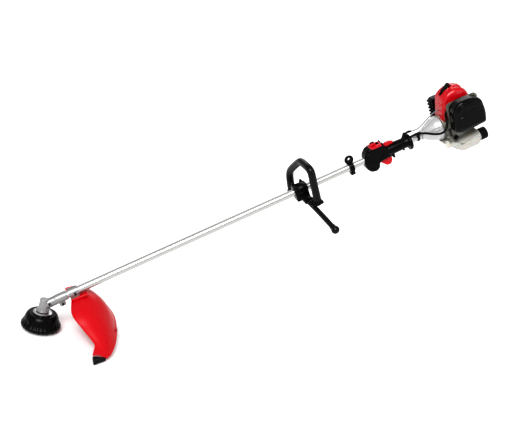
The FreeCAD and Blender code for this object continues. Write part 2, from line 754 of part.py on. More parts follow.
# ------------------------------------------------------------------ clutch and crank

def clutch_housing():
    """Silver cone that joins the tube to the engine and covers the clutch."""
    bore = "tube_diameter / 2 + running_gap"
    subpart("clutch_housing", turned("ClutchHousing", [
        (1460.0, bore), (1460.0, 18.5), (1470.0, 20.5), (1512.0, 42.0), (1536.0, 46.0),
        (1536.0, 41.0), (1514.0, 38.0), (1501.0, 26.0), (1501.0, 16.05),
        (1487.0, 16.05), (1487.0, 12.0), (1482.5, 12.0), (1482.5, bore)], along="X"))


def clutch_drum():
    """Bell driven by the clutch shoes; it turns the drive shaft."""
    bore = "drive_diameter / 2 + running_gap"
    subpart("clutch_drum", turned("ClutchDrum", [
        (1486.0, bore), (1486.0, 9.0), (1502.0, 9.0), (1505.0, 22.0),
        (1513.0, "clutch_radius"), (1533.0, "clutch_radius"),
        (1533.0, "clutch_radius - 3"), (1514.0, "clutch_radius - 3"), (1507.0, 20.0),
        (1505.5, bore)], along="X"))


def clutch_shoes():
    """Two centrifugal shoes on the crank's carrier plate."""
    disc = ring("clutch_radius - 4", "crank_diameter / 2 + running_gap", 14.0, 1516, 0, 0)
    gap = block(1515, 1531, -3, 3, -40, 40)
    subpart("clutch_shoes", cut(disc, gap))


def crankshaft():
    """Journals, webs and offset crank pin, with the clutch nose in front."""
    journals = [rod("crank_diameter / 2", 72.0, 1516, 0, 0),
                rod("crank_diameter / 2", 50.0, 1612, 0, 0)]
    webs = [rod(28.0, 7.0, x, 0, 0) for x in (1586, 1607)]
    pin = rod(6.0, 16.0, 1592, 0, 15)
    subpart("crankshaft", fuse(*(journals + webs + [pin])))


def piston():
    """Piston with its gudgeon pin, and the connecting rod down to the crank pin."""
    crown = rod("cylinder_bore / 2 - running_gap", 28.0, 1600, 0, 62, Z_AXIS)
    hollow = rod(15.0, 21.0, 1600, 0, 61, Z_AXIS)
    pin = rod(4.0, 34.0, 1583, 0, 74)
    big_end = rod(10.0, 10.0, 1595, 0, 15)
    small_end = rod(8.0, 10.0, 1595, 0, 74)
    shank = block(1597, 1603, -5, 5, 20, 70)
    bores = [rod(6.05, 14.0, 1593, 0, 15), rod(4.05, 14.0, 1593, 0, 74)]
    link = cut(fuse(big_end, small_end, shank), *bores)
    subpart("piston", group(fuse(cut(crown, hollow), pin), link))


def engine_block():
    """Crankcase and finned cylinder cast in one, bored from below."""
    case = rod(44.0, 98.0, 1538, 0, 0)
    deck = block(1568, 1632, -30, 30, 20, 54)
    barrel = rod(26.0, 62.0, 1600, 0, 49, Z_AXIS)
    fins = [block(1566, 1634, -30, 30, 62 + 8 * n, 64.5 + 8 * n) for n in range(6)]
    room = rod(36.0, 84.0, 1546, 0, 0)
    front = rod("crank_diameter / 2 + running_gap", 12.0, 1536, 0, 0)
    rear = rod("crank_diameter / 2 + running_gap", 12.0, 1626, 0, 0)
    bore = rod("cylinder_bore / 2", 97.0, 1600, 0, 0, Z_AXIS)
    plug_hole = rod(5.0, 20.0, 1588, 0, 96, Z_AXIS)
    subpart("engine_block", cut(fuse(case, deck, barrel, *fins), room, front, rear, bore,
                                plug_hole))


def spark_plug():
    shell = rod(4.95, 12.0, 1588, 0, 99.5, Z_AXIS)
    hexagon = rod(8.5, 5.0, 1588, 0, 111.4, Z_AXIS)
    insulator = rod(4.0, 12.0, 1588, 0, 116.4, Z_AXIS)
    subpart("spark_plug", fuse(shell, hexagon, insulator))


def plug_boot():
    """Rubber boot that leans back over the plug."""
    low, high = Vector(1577, 0, 127), Vector(1606, 0, 146)
    lean = high - low
    sleeve = rod(8.0, lean.Length, low.x, low.y, low.z, lean)
    ends = [ball(8.0, p.x, p.y, p.z) for p in (low, high)]
    plug = rod(4.1, 12.0, 1588, 0, 117, Z_AXIS)
    subpart("plug_boot", cut(fuse(sleeve, *ends), plug))


# ------------------------------------------------------------------ covers and exhaust

COVER_PROFILE = [(1540, 28), (1558, 112), (1582, 129), (1618, 136), (1646, 123),
                 (1660, 98), (1664, 62), (1637, 62), (1637, 28)]
COVER_HALF_WIDTH = 42.0
COVER_WALL = 3.0


def engine_cover():
    """Red shroud over the cylinder, open below and behind."""
    outside = rounded(plate("CoverOutside", COVER_PROFILE, -COVER_HALF_WIDTH,
                            COVER_HALF_WIDTH), 12.0,
                      lambda e: abs(e.CenterOfMass.y) > 41.9 and e.CenterOfMass.z > 65)
    centre = Vector(1604, 0, 78)
    inner = [(centre.x + (x - centre.x) * 0.93, centre.z + (z - centre.z) * 0.93)
             for x, z in COVER_PROFILE[:7]] + [(1660, 20), (1545, 20)]
    half = COVER_HALF_WIDTH - COVER_WALL
    inside = rounded(plate("CoverInside", inner, -half, half), 9.0,
                     lambda e: abs(e.CenterOfMass.y) > half - 0.1
                     and e.CenterOfMass.z > 65)
    recess = block(1562, 1616, -9.5, 9.5, 106, 170)
    intake = block(1574, 1618, -60, 0, 34, 78)
    port = block(1580, 1614, 0, 60, 44, 84)
    wire_hole = rod(5.0, 30.0, 1530, 7, 63)
    case_room = rod(44.3, 120.0, 1530, 0, 0)
    screw_hole = rod(2.05, 8.0, 1552, -44, 44, Y_AXIS)
    subpart("engine_cover", cut(outside, inside, recess, intake, port, wire_hole,
                                case_room, screw_hole))


def muffler():
    """Pressed box with an outlet stub."""
    box = rounded(block(1556, 1622, 46, 71, 12, 80), 7.0)
    port = block(1588, 1606, 31.5, 48, 52, 74)
    outlet = rod(6.0, 14.0, 1612, 60, 14, -Z_AXIS)
    subpart("muffler", fuse(box, port, outlet))


def muffler_guard():
    """Black louvred shield round the muffler."""
    outside = block(1547, 1634, 44.4, 80, 4, 90)
    inside = block(1550, 1631, 42, 77, 7, 87)
    louvres = [block(1541, 1548, 48, 77, 12 + 16 * n, 17 + 16 * n) for n in range(5)]
    vents = [block(1544, 1556, 52, 73, 19 + 16 * n, 25 + 16 * n) for n in range(4)]
    side = [block(1558, 1624, 74, 83, 14 + 15 * n, 21 + 15 * n) for n in range(5)]
    outlet = rod(8.0, 12.0, 1612, 60, 0, Z_AXIS)
    subpart("muffler_guard", cut(fuse(cut(outside, inside), *louvres), outlet,
                                 *(vents + side)))


# ------------------------------------------------------------- intake on the near side

THROTTLE_SPINDLE = (1590.0, -50.0)
# The air cleaner cover's hinge line along the tube: its y and z.
AIR_HINGE = (-63.0, -6.5)


def carburettor():
    body = block(1580, 1612, -58, -31.5, 48, 74)
    bowl = rod(11.0, 12.0, 1598, -45, 36, Z_AXIS)
    bore = rod(6.0, 40.0, 1598, -65, 62, Y_AXIS)
    spindle_hole = rod(2.06, 10.0, THROTTLE_SPINDLE[0], THROTTLE_SPINDLE[1], 66, Z_AXIS)
    stop = block(1577, 1580.5, -57, -45, 68, 92)
    tab = block(1577, 1586, -57, -45, 68, 72)
    subpart("carburettor", cut(fuse(body, bowl, stop, tab), bore, spindle_hole))


def throttle_lever():
    """Lever on the carburettor that the cable pulls."""
    x, y = THROTTLE_SPINDLE
    spindle = rod(2.0, 12.0, x, y, 67, Z_AXIS)
    arm = block(x - 2.5, x + 2.5, y - 2.5, y + 8, 75, 77.5)
    subpart("throttle_lever", fuse(spindle, arm))


def air_base():
    """Back plate of the air cleaner; its front ear carries the choke and the primer."""
    face = rounded(block(1553, 1676, -62.5, -58.5, 0, 106), 16.0, runs_along(Y_AXIS))
    ear = block(1538, 1573, -62.5, -58.5, -44, 30)
    foot = block(1541, 1553, -59, -44.1, -6, 22)
    lugs = [block(x, x + 5.5, -64.5, -59, -8.7, -5.6) for x in (1594, 1630.5)]
    links = [block(x, x + 5.5, -62.5, -59, -6, 4) for x in (1594, 1630.5)]
    pin = rod(1.2, 42.0, 1594, *AIR_HINGE)
    throat = rod(8.0, 12.0, 1598, -66, 62, Y_AXIS)
    primer_hole = rod(6.2, 12.0, 1562, -66, -31, Y_AXIS)
    subpart("air_base", cut(fuse(face, ear, foot, pin, *(lugs + links)), throat,
                            primer_hole))


def air_filter():
    """Foam element in the air cleaner."""
    subpart("air_filter", rounded(block(1578, 1658, -84, -62.8, 22, 84), 8.0,
                                  runs_along(Y_AXIS)))


def air_cover():
    """Black cover of the air cleaner, hinged along its lower edge."""
    outside = rounded(plate("AirOutside", [(1553, 6), (1575, -6), (1676, -2), (1681, 40),
                                           (1674, 92), (1640, 109), (1590, 112),
                                           (1560, 92)], -111, -62.8), 9.0,
                      lambda e: e.CenterOfMass.y < -63.5)
    inside = rounded(plate("AirInside", [(1557, 9), (1577, -2), (1672, 2), (1676, 41),
                                         (1669, 88), (1639, 104.5), (1592, 107.5),
                                         (1564, 89)], -107, -60), 6.0,
                     lambda e: e.CenterOfMass.y < -60.5)
    knuckle = rod(2.4, 28.0, 1601, *AIR_HINGE)
    pin_bore = rod(1.25, 60.0, 1590, *AIR_HINGE)
    lug_room = [block(x, x + 6.7, -67.5, -60, -12, -3) for x in (1593.4, 1629.9)]
    subpart("air_cover", cut(fuse(cut(outside, inside), knuckle), pin_bore, *lug_room))


CHOKE_PIVOT = (1547.0, 6.0)


def choke_lever():
    """Choke lever in front of the air cleaner."""
    x, z = CHOKE_PIVOT
    boss = rod(6.0, 6.0, x, -62.8, z, -Y_AXIS)
    arm = block(x - 2.5, x + 2.5, -68.5, -65.0, z - 22, z)
    tip = rod(4.0, 6.0, x, -71.0, z - 20, Y_AXIS)
    subpart("choke_lever", fuse(boss, arm, tip))


def primer_bulb():
    """Rubber bulb that is pressed to fill the carburettor."""
    dome = ball(9.5, 1562, -66.5, -31)
    half = block(1550, 1574, -78, -66.5, -43, -19)
    stem = rod(5.8, 8.0, 1562, -66.5, -31, Y_AXIS)
    subpart("primer_bulb", fuse(common(dome, half), stem))


# --------------------------------------------------------------------- tank and starter

CAP_CENTRE = (-30.0, -80.0)


def fuel_tank():
    """Translucent tank slung under the engine, with a threaded neck behind."""
    profile = [(1520, -47), (1532, -52), (1560, -88), (1588, -108), (1650, -108),
               (1664, -98), (1664, -57), (1560, -57), (1548, -47)]
    shell = rounded(plate("TankShell", profile, -56, 50), 16.0,
                    lambda e: abs(e.CenterOfMass.y + 3) > 52.9
                    and e.CenterOfMass.z < -58)
    y, z = CAP_CENTRE
    neck = rod(16.0, 16.0, 1660, y, z)
    room = plate("TankRoom", [(1540, -55), (1562, -84), (1590, -104), (1648, -104),
                              (1660, -96), (1660, -60), (1560, -60)], -46, 40)
    mouth = rod(12.0, 30.0, 1650, y, z)
    subpart("fuel_tank", cut(fuse(shell, neck), room, mouth))


def cap_seal():
    """Sealing washer that rides under the fuel cap."""
    y, z = CAP_CENTRE
    subpart("cap_seal", ring(15.5, 9.0, 2.0, 1676.3, y, z))


def fuel_cap():
    """Screw cap with a knurled rim."""
    y, z = CAP_CENTRE
    cup = rod("cap_radius", 26.0, 1667, y, z)
    hollow = rod(16.6, 12.8, 1666, y, z)
    ribs = []
    for number in range(20):
        angle = 2 * math.pi * number / 20
        reach = SIZE["cap_radius"] + 0.4
        ribs.append(rod(1.2, 40.0, 1664, y + reach * math.cos(angle),
                        z + reach * math.sin(angle)))
    subpart("fuel_cap", cut(cup, hollow, *ribs))


def flywheel():
    """Flywheel with cooling fins behind the crankcase."""
    disc = ring("flywheel_radius - 12", "crank_diameter / 2 + running_gap", 6.0,
                1641, 0, 0)
    rim = ring("flywheel_radius", "flywheel_radius - 14", 10.0, 1641, 0, 0)
    fins = []
    for number in range(12):
        fin = block(1650.5, 1656, 22, 44, -1.2, 1.2)
        fin.Placement = Placement(Vector(), Rotation(X_AXIS, 30.0 * number)).multiply(
            fin.Placement)
        fins.append(fin)
    subpart("flywheel", fuse(disc, rim, *fins))


def starter_housing():
    """Recoil starter's shell with slots to draw in air and the rope's eyelet boss."""
    shell = turned("StarterShell", [
        (1638.0, "starter_radius - 4"), (1638.0, "starter_radius"),
        (1672.0, "starter_radius"), (1686.0, 42.0), (1690.0, 20.0), (1690.0, 0.0),
        (1683.0, 0.0), (1683.0, 36.0), (1668.0, "starter_radius - 4")], along="X")
    post = rod(5.0, 21.0, 1663, 0, 0)
    boss = rod(7.0, 22.0, 1668, 42, 30, Y_AXIS)
    rope_hole = rod(2.6, 60.0, 1668, 10, 30, Y_AXIS)
    slots = []
    for number in range(8):
        slot = block(1680, 1694, 24, 36, -3, 3)
        slot.Placement = Placement(Vector(), Rotation(X_AXIS, 45.0 * number)).multiply(
            slot.Placement)
        slots.append(slot)
    holes = [rod(2.05, 12.0, 1680, y, z) for y, z in starter_screw_places()]
    subpart("starter_housing", cut(fuse(shell, post, boss), rope_hole, *(slots + holes)))


def starter_screw_places():
    angles = [math.radians(60 + 120 * number) for number in range(3)]
    return [(12 * math.cos(a), 12 * math.sin(a)) for a in angles]


def starter_pulley():
    """Rope pulley on the starter's post."""
    wheel = rod("pulley_radius + 3", 9.0, 1663.5, 0, 0)
    groove = ring(40.0, "pulley_radius - 3", 5.0, 1665.5, 0, 0)
    bore = rod(5.06, 30.0, 1655, 0, 0)
    subpart("starter_pulley", cut(wheel, groove, bore))


ROPE_EXIT = (1668.0, 67.0, 30.0)


def starter_rope():
    """The rope's short stretch between the eyelet and the handle, pulled plumb."""
    x, y, z = ROPE_EXIT
    subpart("starter_rope", rod(1.8, 16.0, x, y, z, PLUMB))


def starter_grip():
    """T-handle of the recoil starter."""
    foot = Vector(*ROPE_EXIT) + PLUMB * 16.4
    middle = foot + PLUMB * 10
    stem = cone(5.5, 8.0, 10.0, foot.x, foot.y, foot.z, PLUMB)
    bar = rod(8.0, 38.0, middle.x, middle.y - 19, middle.z, Y_AXIS)
    subpart("starter_grip", rounded_ends(fuse(stem, bar)))


def rounded_ends(piece):
    """Fillet the two end circles of a handle's bar."""
    return rounded(piece, 3.0, lambda e: isinstance(e.Curve, Part.Circle)
                   and abs(e.Curve.Axis.y) > 0.99)


def small_screws():
    """Screws of the grip halves, the engine cover and the starter."""
    screws = [socket_screw(x, y, z, Y_AXIS, 2 * abs(y) - 3, 2.0)
              for x, y, z in GRIP_SCREW_PLACES]
    screws.append(socket_screw(1552, -42.1, 44, Y_AXIS, 8.0, 2.0))
    screws += [socket_screw(1690.1, y, z, -X_AXIS, 6.0, 2.0)
               for y, z in starter_screw_places()]
    subpart("small_screws", group(*screws))


# ------------------------------------------------------------------------------- build

PIECES = (
    head_housing, head_cover, head_spool, wound_line, tap_knob, head_spring,
    line_eyelets, output_shaft, gearcase, bearings, driven_gear, drive_pinion,
    main_tube, drive_shaft, tube_bushes, guard, guard_tip, line_cutter, guard_bracket,
    loop_clamp, loop_base, loop_grip, barrier_bar, clamp_bolts, harness_clamp,
    throttle_trigger, trigger_lockout, stop_switch, throttle_cable, stop_wire,
    cable_clip, clutch_housing, clutch_drum, clutch_shoes, crankshaft, piston,
    engine_block, spark_plug, plug_boot, engine_cover, muffler, muffler_guard,
    carburettor, throttle_lever, air_base, air_filter, air_cover, choke_lever,
    primer_bulb, fuel_tank, cap_seal, fuel_cap, flywheel, starter_housing,
    starter_pulley, starter_rope, starter_grip, small_screws)

for build_piece in PIECES:
    build_piece()
grip_half("grip_left", -1)
grip_half("grip_right", 1)
doc.recompute()

faults = [obj.Label for obj in doc.Objects
          if "Invalid" in obj.State or "Error" in obj.State]
for obj in SUBPARTS:
    if obj.Shape.isNull() or not obj.Shape.isValid() or not obj.Shape.Solids:
        faults.append(obj.Label)
if faults:
    raise RuntimeError("failed objects: " + ", ".join(faults))

print("cable arcs:", [round(r, 1) for r in largest_arcs(CABLE_ROUTE)])
print("wire arcs:", [round(r, 1) for r in largest_arcs(WIRE_ROUTE)])
os.makedirs("parts", exist_ok=True)
for obj in SUBPARTS:
    obj.Shape.exportStep("parts/" + obj.Label + ".step")
print(len(SUBPARTS), "sub-parts")
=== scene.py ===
"""Looks of the loop-handled petrol brush cutter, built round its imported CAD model.

Shapes are drawn in millimetres.  TUBE is the shaft tube's frame: x along the tube from the
point where its axis meets the head's axis, z square to it, and -y the operator's left.
GROUND is the model's own frame.  Every mesh ends up in metres in the model's frame.
"""
import bmesh
import bpy
import json
import math
from mathutils import Matrix, Vector


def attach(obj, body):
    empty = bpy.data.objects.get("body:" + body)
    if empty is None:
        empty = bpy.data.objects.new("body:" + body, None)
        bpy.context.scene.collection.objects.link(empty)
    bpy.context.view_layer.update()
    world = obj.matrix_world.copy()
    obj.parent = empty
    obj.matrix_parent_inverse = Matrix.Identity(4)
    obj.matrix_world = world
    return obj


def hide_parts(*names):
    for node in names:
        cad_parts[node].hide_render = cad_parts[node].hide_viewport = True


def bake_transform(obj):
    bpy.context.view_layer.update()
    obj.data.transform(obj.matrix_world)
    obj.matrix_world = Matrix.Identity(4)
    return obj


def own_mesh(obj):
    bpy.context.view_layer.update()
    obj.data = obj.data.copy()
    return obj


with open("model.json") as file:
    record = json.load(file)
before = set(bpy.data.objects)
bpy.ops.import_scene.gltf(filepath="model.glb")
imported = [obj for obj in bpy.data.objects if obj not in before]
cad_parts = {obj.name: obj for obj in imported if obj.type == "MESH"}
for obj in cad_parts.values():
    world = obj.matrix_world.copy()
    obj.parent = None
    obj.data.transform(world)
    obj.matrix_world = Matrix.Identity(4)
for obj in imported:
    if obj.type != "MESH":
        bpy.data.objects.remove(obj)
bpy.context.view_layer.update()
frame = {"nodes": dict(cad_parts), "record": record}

MM = 0.001
GEAR_HEIGHT = 88.0
STANCE = math.radians(30.0)
GROUND = Matrix.Scale(MM, 4)
TUBE = (Matrix.Translation((0, 0, GEAR_HEIGHT * MM))
        @ Matrix.Rotation(-STANCE, 4, "Y") @ Matrix.Scale(MM, 4))
SHARP = math.radians(38.0)
TAU = 2 * math.pi
# Radii round the shaft tube: the hole cut through a casting, and a turned band's bore.
TUBE_HOLE = 13.1
BAND_BORE = 13.2


# --------------------------------------------------------------------------- materials

def material(name, colour, roughness, metallic=0.0, grain=900.0, bump=0.05, mottle=0.06,
             spread=0.08, subsurface=0.0, specular=0.5, stretch=(1, 1, 1)):
    """A procedural finish: colour drifts by `mottle` over large patches, roughness by
    `spread` over smaller ones, and fine grain raises the surface by `bump`."""
    made = bpy.data.materials.new(name)
    made.use_nodes = True
    nodes, links = made.node_tree.nodes, made.node_tree.links
    shader = nodes["Principled BSDF"]
    shader.inputs["Metallic"].default_value = metallic
    shader.inputs["Specular IOR Level"].default_value = specular
    shader.inputs["Subsurface Weight"].default_value = subsurface
    shader.inputs["Subsurface Scale"].default_value = 0.01
    place = nodes.new("ShaderNodeTexCoord")
    scale = nodes.new("ShaderNodeMapping")
    scale.inputs["Scale"].default_value = stretch
    links.new(place.outputs["Object"], scale.inputs["Vector"])

    def noise(size, detail):
        node = nodes.new("ShaderNodeTexNoise")
        node.inputs["Scale"].default_value = size
        node.inputs["Detail"].default_value = detail
        links.new(scale.outputs["Vector"], node.inputs["Vector"])
        return node.outputs["Fac"]

    ramp = nodes.new("ShaderNodeValToRGB")
    dark = [c * (1 - mottle) for c in colour]
    pale = [min(1.0, c * (1 + mottle) + 0.01 * mottle) for c in colour]
    ramp.color_ramp.elements[0].position = 0.3
    ramp.color_ramp.elements[0].color = (*dark, 1)
    ramp.color_ramp.elements[1].position = 0.7
    ramp.color_ramp.elements[1].color = (*pale, 1)
    links.new(noise(38.0, 4.0), ramp.inputs["Fac"])
    links.new(ramp.outputs["Color"], shader.inputs["Base Color"])
    rough = nodes.new("ShaderNodeMapRange")
    rough.inputs["To Min"].default_value = max(0.02, roughness - spread)
    rough.inputs["To Max"].default_value = min(1.0, roughness + spread)
    links.new(noise(120.0, 3.0), rough.inputs["Value"])
    links.new(rough.outputs["Result"], shader.inputs["Roughness"])
    relief = nodes.new("ShaderNodeBump")
    relief.inputs["Strength"].default_value = bump
    relief.inputs["Distance"].default_value = 0.0004
    links.new(noise(grain, 2.0), relief.inputs["Height"])
    links.new(relief.outputs["Normal"], shader.inputs["Normal"])
    return made


BLACK = material("moulded_black", (0.002, 0.002, 0.0025), 0.28, bump=0.08, specular=0.14)
SATIN_BLACK = material("satin_black", (0.002, 0.002, 0.002), 0.20, bump=0.04, specular=0.2)
DARK = material("moulded_dark", (0.012, 0.012, 0.013), 0.45, bump=0.15, specular=0.25)
RUBBER = material("rubber_black", (0.003, 0.003, 0.003), 0.42, grain=1400.0, bump=0.25,
                  specular=0.14)
FOAM_GRIP = material("loop_sleeve", (0.003, 0.003, 0.0035), 0.26, grain=1600.0, bump=0.12,
                     specular=0.25)
RED = material("gloss_red", (0.42, 0.0015, 0.009), 0.20, bump=0.01, mottle=0.015,
               spread=0.02, specular=0.45)
GUARD_RED = material("guard_red", (0.45, 0.0015, 0.008), 0.28, bump=0.01, mottle=0.015,
                     spread=0.02, specular=0.3)
CONTROL_RED = material("control_red", (0.42, 0.002, 0.012), 0.32, bump=0.05, specular=0.3)
ALLOY = material("tube_alloy", (0.47, 0.47, 0.46), 0.28, metallic=0.8, grain=700.0,
                 bump=0.01, mottle=0.02, stretch=(0.2, 3.0, 3.0))
CAST = material("cast_alloy", (0.30, 0.30, 0.30), 0.40, metallic=0.7, grain=1300.0,
                bump=0.3, mottle=0.07)
WARM_CAST = material("warm_cast", (0.34, 0.33, 0.27), 0.48, metallic=0.35, grain=1100.0,
                     bump=0.35, mottle=0.14)
BASE_CAST = material("base_plate_cast", (0.13, 0.127, 0.105), 0.48, metallic=0.3,
                     grain=1100.0, bump=0.35, mottle=0.14)
SILVER = material("silver_paint", (0.50, 0.50, 0.50), 0.34, metallic=0.55, grain=1500.0,
                  bump=0.12, mottle=0.04)
STEEL = material("bright_steel", (0.58, 0.58, 0.59), 0.28, metallic=1.0, bump=0.06)
BLACK_STEEL = material("black_steel", (0.02, 0.02, 0.021), 0.32, metallic=0.6)
BRONZE = material("sintered_bush", (0.34, 0.22, 0.10), 0.45, metallic=0.6, bump=0.2)
NYLON = material("line_nylon", (0.85, 0.42, 0.05), 0.30, grain=500.0, bump=0.1)
TANK = material("tank_white", (0.42, 0.41, 0.375), 0.30, bump=0.06, mottle=0.10,
                subsurface=0.15)
SPONGE = material("filter_foam", (0.10, 0.10, 0.11), 0.95, grain=2200.0, bump=0.9)
ROPE = material("starter_rope", (0.02, 0.02, 0.022), 0.75, grain=2400.0, bump=0.8)
WIRE = material("wire_grey", (0.16, 0.16, 0.17), 0.40, grain=1500.0, bump=0.1)

SLOT_FINISH = {
    "black_plastic": BLACK, "dark_plastic": DARK, "line_nylon": NYLON,
    "rubber_black": RUBBER, "steel": STEEL, "black_steel": BLACK_STEEL,
    "cast_alloy": CAST, "silver_cast": SILVER, "tube_alloy": ALLOY,
    "red_plastic": RED, "bush": BRONZE, "loop_black": FOAM_GRIP,
    "starter_black": BLACK, "tank_white": TANK, "foam": SPONGE, "rope": ROPE,
    "wire_grey": WIRE,
}
# Nodes whose finish differs from the rest of their material slot.
NODE_FINISH = {
    "line_eyelets": BLACK_STEEL, "air_base": BASE_CAST, "carburettor": WARM_CAST,
    "engine_block": WARM_CAST,
}
slot_of = {part["node"]: part["material_slot"] for part in frame["record"]["subparts"]}
for name, node in frame["nodes"].items():
    for index in range(max(1, len(node.material_slots))):
        if not node.material_slots:
            node.data.materials.append(None)
        node.material_slots[index].link = "OBJECT"
        finish = NODE_FINISH.get(name, SLOT_FINISH[slot_of[name]])
        node.material_slots[index].material = finish


# --------------------------------------------------------------------------- mesh tools

def piece(name, points, faces, finish, place=TUBE):
    """A closed mesh from points in millimetres, smooth except at sharp edges."""
    mesh = bpy.data.meshes.new(name)
    mesh.from_pydata([place @ Vector(p) for p in points], [], faces)
    work = bmesh.new()
    work.from_mesh(mesh)
    bmesh.ops.remove_doubles(work, verts=work.verts, dist=2e-6)
    bmesh.ops.recalc_face_normals(work, faces=work.faces)
    work.to_mesh(mesh)
    work.free()
    obj = bpy.data.objects.new(name, mesh)
    bpy.context.scene.collection.objects.link(obj)
    mesh.materials.append(finish)
    return smooth(obj)


def smooth(obj, angle=SHARP):
    obj.data.shade_smooth()
    obj.data.set_sharp_from_angle(angle=angle)
    return obj


def settle(obj):
    """Bake the object's modifiers into its mesh."""
    bpy.context.view_layer.update()
    graph = bpy.context.evaluated_depsgraph_get()
    made = bpy.data.meshes.new_from_object(obj.evaluated_get(graph))
    old = obj.data
    obj.modifiers.clear()
    obj.data = made
    made.name = obj.name
    bpy.data.meshes.remove(old)
    return obj


def drop(*objs):
    for obj in objs:
        bpy.data.objects.remove(obj)


def joined(name, objs):
    """One object from several; each keeps its finish."""
    work = bmesh.new()
    finishes = []
    for obj in objs:
        first = len(work.faces)
        work.from_mesh(obj.data)
        work.faces.ensure_lookup_table()
        finish = obj.data.materials[0]
        if finish not in finishes:
            finishes.append(finish)
        for face in work.faces[first:]:
            face.material_index = finishes.index(finish)
    mesh = bpy.data.meshes.new(name)
    work.to_mesh(mesh)
    work.free()
    for finish in finishes:
        mesh.materials.append(finish)
    drop(*objs)
    obj = bpy.data.objects.new(name, mesh)
    bpy.context.scene.collection.objects.link(obj)
    return smooth(obj)


def carve(obj, *cutters):
    """Cut pieces out of an object, one at a time."""
    for cutter in cutters:
        change = obj.modifiers.new("Carve", "BOOLEAN")
        change.operation = "DIFFERENCE"
        change.solver = "MANIFOLD"
        change.object = cutter
        settle(obj)
        drop(cutter)
    while len(obj.data.materials) > 1:
        obj.data.materials.pop()
    return smooth(obj)


def moulded(name, objs, voxel, rounds=4):
    """Melt overlapping closed pieces into one body with soft inner corners."""
    obj = joined(name, objs)
    change = obj.modifiers.new("Melt", "REMESH")
    change.mode = "VOXEL"
    change.voxel_size = voxel * MM
    settle(obj)
    change = obj.modifiers.new("Relax", "SMOOTH")
    change.factor = 0.5
    change.iterations = rounds
    settle(obj)
    change = obj.modifiers.new("Thin", "DECIMATE")
    change.decimate_type = "COLLAPSE"
    change.ratio = 0.35
    return smooth(settle(obj), math.radians(50))


def soften(outline, radius, steps=5, closed=True):
    """Swap an outline's corners for curves; radius is one number or one per corner."""
    count = len(outline)
    radii = radius if isinstance(radius, (list, tuple)) else [radius] * count
    made = []
    for index, corner in enumerate(outline):
        corner = Vector(corner)
        if radii[index] <= 0 or (not closed and index in (0, count - 1)):
            made.append(corner)
            continue
        before = Vector(outline[index - 1]) - corner
        after = Vector(outline[(index + 1) % count]) - corner
        reach = min(radii[index], 0.49 * before.length, 0.49 * after.length)
        start, end = corner + before.normalized() * reach, corner + after.normalized() * reach
        for step in range(steps + 1):
            share = step / steps
            made.append(start * (1 - share) ** 2 + corner * 2 * share * (1 - share)
                        + end * share ** 2)
    return made


def ring_faces(rings, size, loop):
    """Quads between rings of `size` points.  With loop the last ring meets the first one
    again; without it one face closes each end."""
    faces = []
    for row in range(rings if loop else rings - 1):
        here, there = row * size, ((row + 1) % rings) * size
        for column in range(size):
            beside = (column + 1) % size
            faces.append((here + column, here + beside, there + beside, there + column))
    if not loop:
        faces.append(tuple(range(size)))
        faces.append(tuple(range((rings - 1) * size, rings * size)))
    return faces


def rings_piece(name, rings, finish, place=TUBE, loop=False):
    points = [p for ring in rings for p in ring]
    return piece(name, points, ring_faces(len(rings), len(rings[0]), loop), finish, place)


AXES = {"X": lambda u, v, w: (w, u, v), "Y": lambda u, v, w: (u, w, v),
        "Z": lambda u, v, w: (u, v, w)}


def inset(outline, amount):
    """An outline moved inwards by an amount, corner by corner."""
    count = len(outline)
    area = sum(outline[i - 1].x * outline[i].y - outline[i].x * outline[i - 1].y
               for i in range(count))
    side = 1 if area > 0 else -1
    made = []
    for index, here in enumerate(outline):
        arriving = (here - outline[index - 1]).normalized()
        leaving = (outline[(index + 1) % count] - here).normalized()
        along = (arriving + leaving).normalized()
        inward = Vector((-along.y, along.x)) * side
        lean = max(0.5, along.dot(arriving))
        made.append(here + inward * (amount / lean))
    return made


def pillow(name, outline, low, high, finish, edge=2.0, edge_high=None, dome=0.0,
           dome_high=0.0, axis="Y", place=TUBE, steps=4):
    """An outline pushed along an axis from low to high, its two rims rounded by `edge`
    and `edge_high`, and its ends bulging by `dome` and `dome_high`."""
    outline = [Vector(p) for p in outline]
    edge_high = edge if edge_high is None else edge_high
    centre = sum(outline, Vector((0, 0))) / len(outline)
    rings = []

    def end(level, rim, bulge, outward):
        made = []
        flat = inset(outline, rim)
        if bulge:
            for share in (0.12, 0.35, 0.6, 0.82):
                made.append(([centre + (p - centre) * share for p in flat],
                             level + outward * bulge * (1 - share ** 2)))
        for step in range(steps + 1 if rim else 1):
            turn = step / steps * math.pi / 2
            made.append((inset(outline, rim * (1 - math.sin(turn))),
                         level - outward * rim * (1 - math.cos(turn))))
        return made

    bottom = end(low + dome, edge, dome, -1)
    top = end(high - dome_high, edge_high, dome_high, 1)
    for flat, level in bottom + top[::-1]:
        rings.append([AXES[axis](p.x, p.y, level) for p in flat])
    return rings_piece(name, rings, finish, place)


def oblong(u_low, u_high, v_low, v_high, radius=3.0, steps=4):
    """A rectangle with rounded corners, for pillow()."""
    return soften([(u_low, v_low), (u_high, v_low), (u_high, v_high), (u_low, v_high)],
                  radius, steps)


def disc(radius, u, v, count=40):
    """A round outline, for pillow()."""
    return [Vector((u + radius * math.cos(TAU * i / count),
                    v + radius * math.sin(TAU * i / count))) for i in range(count)]


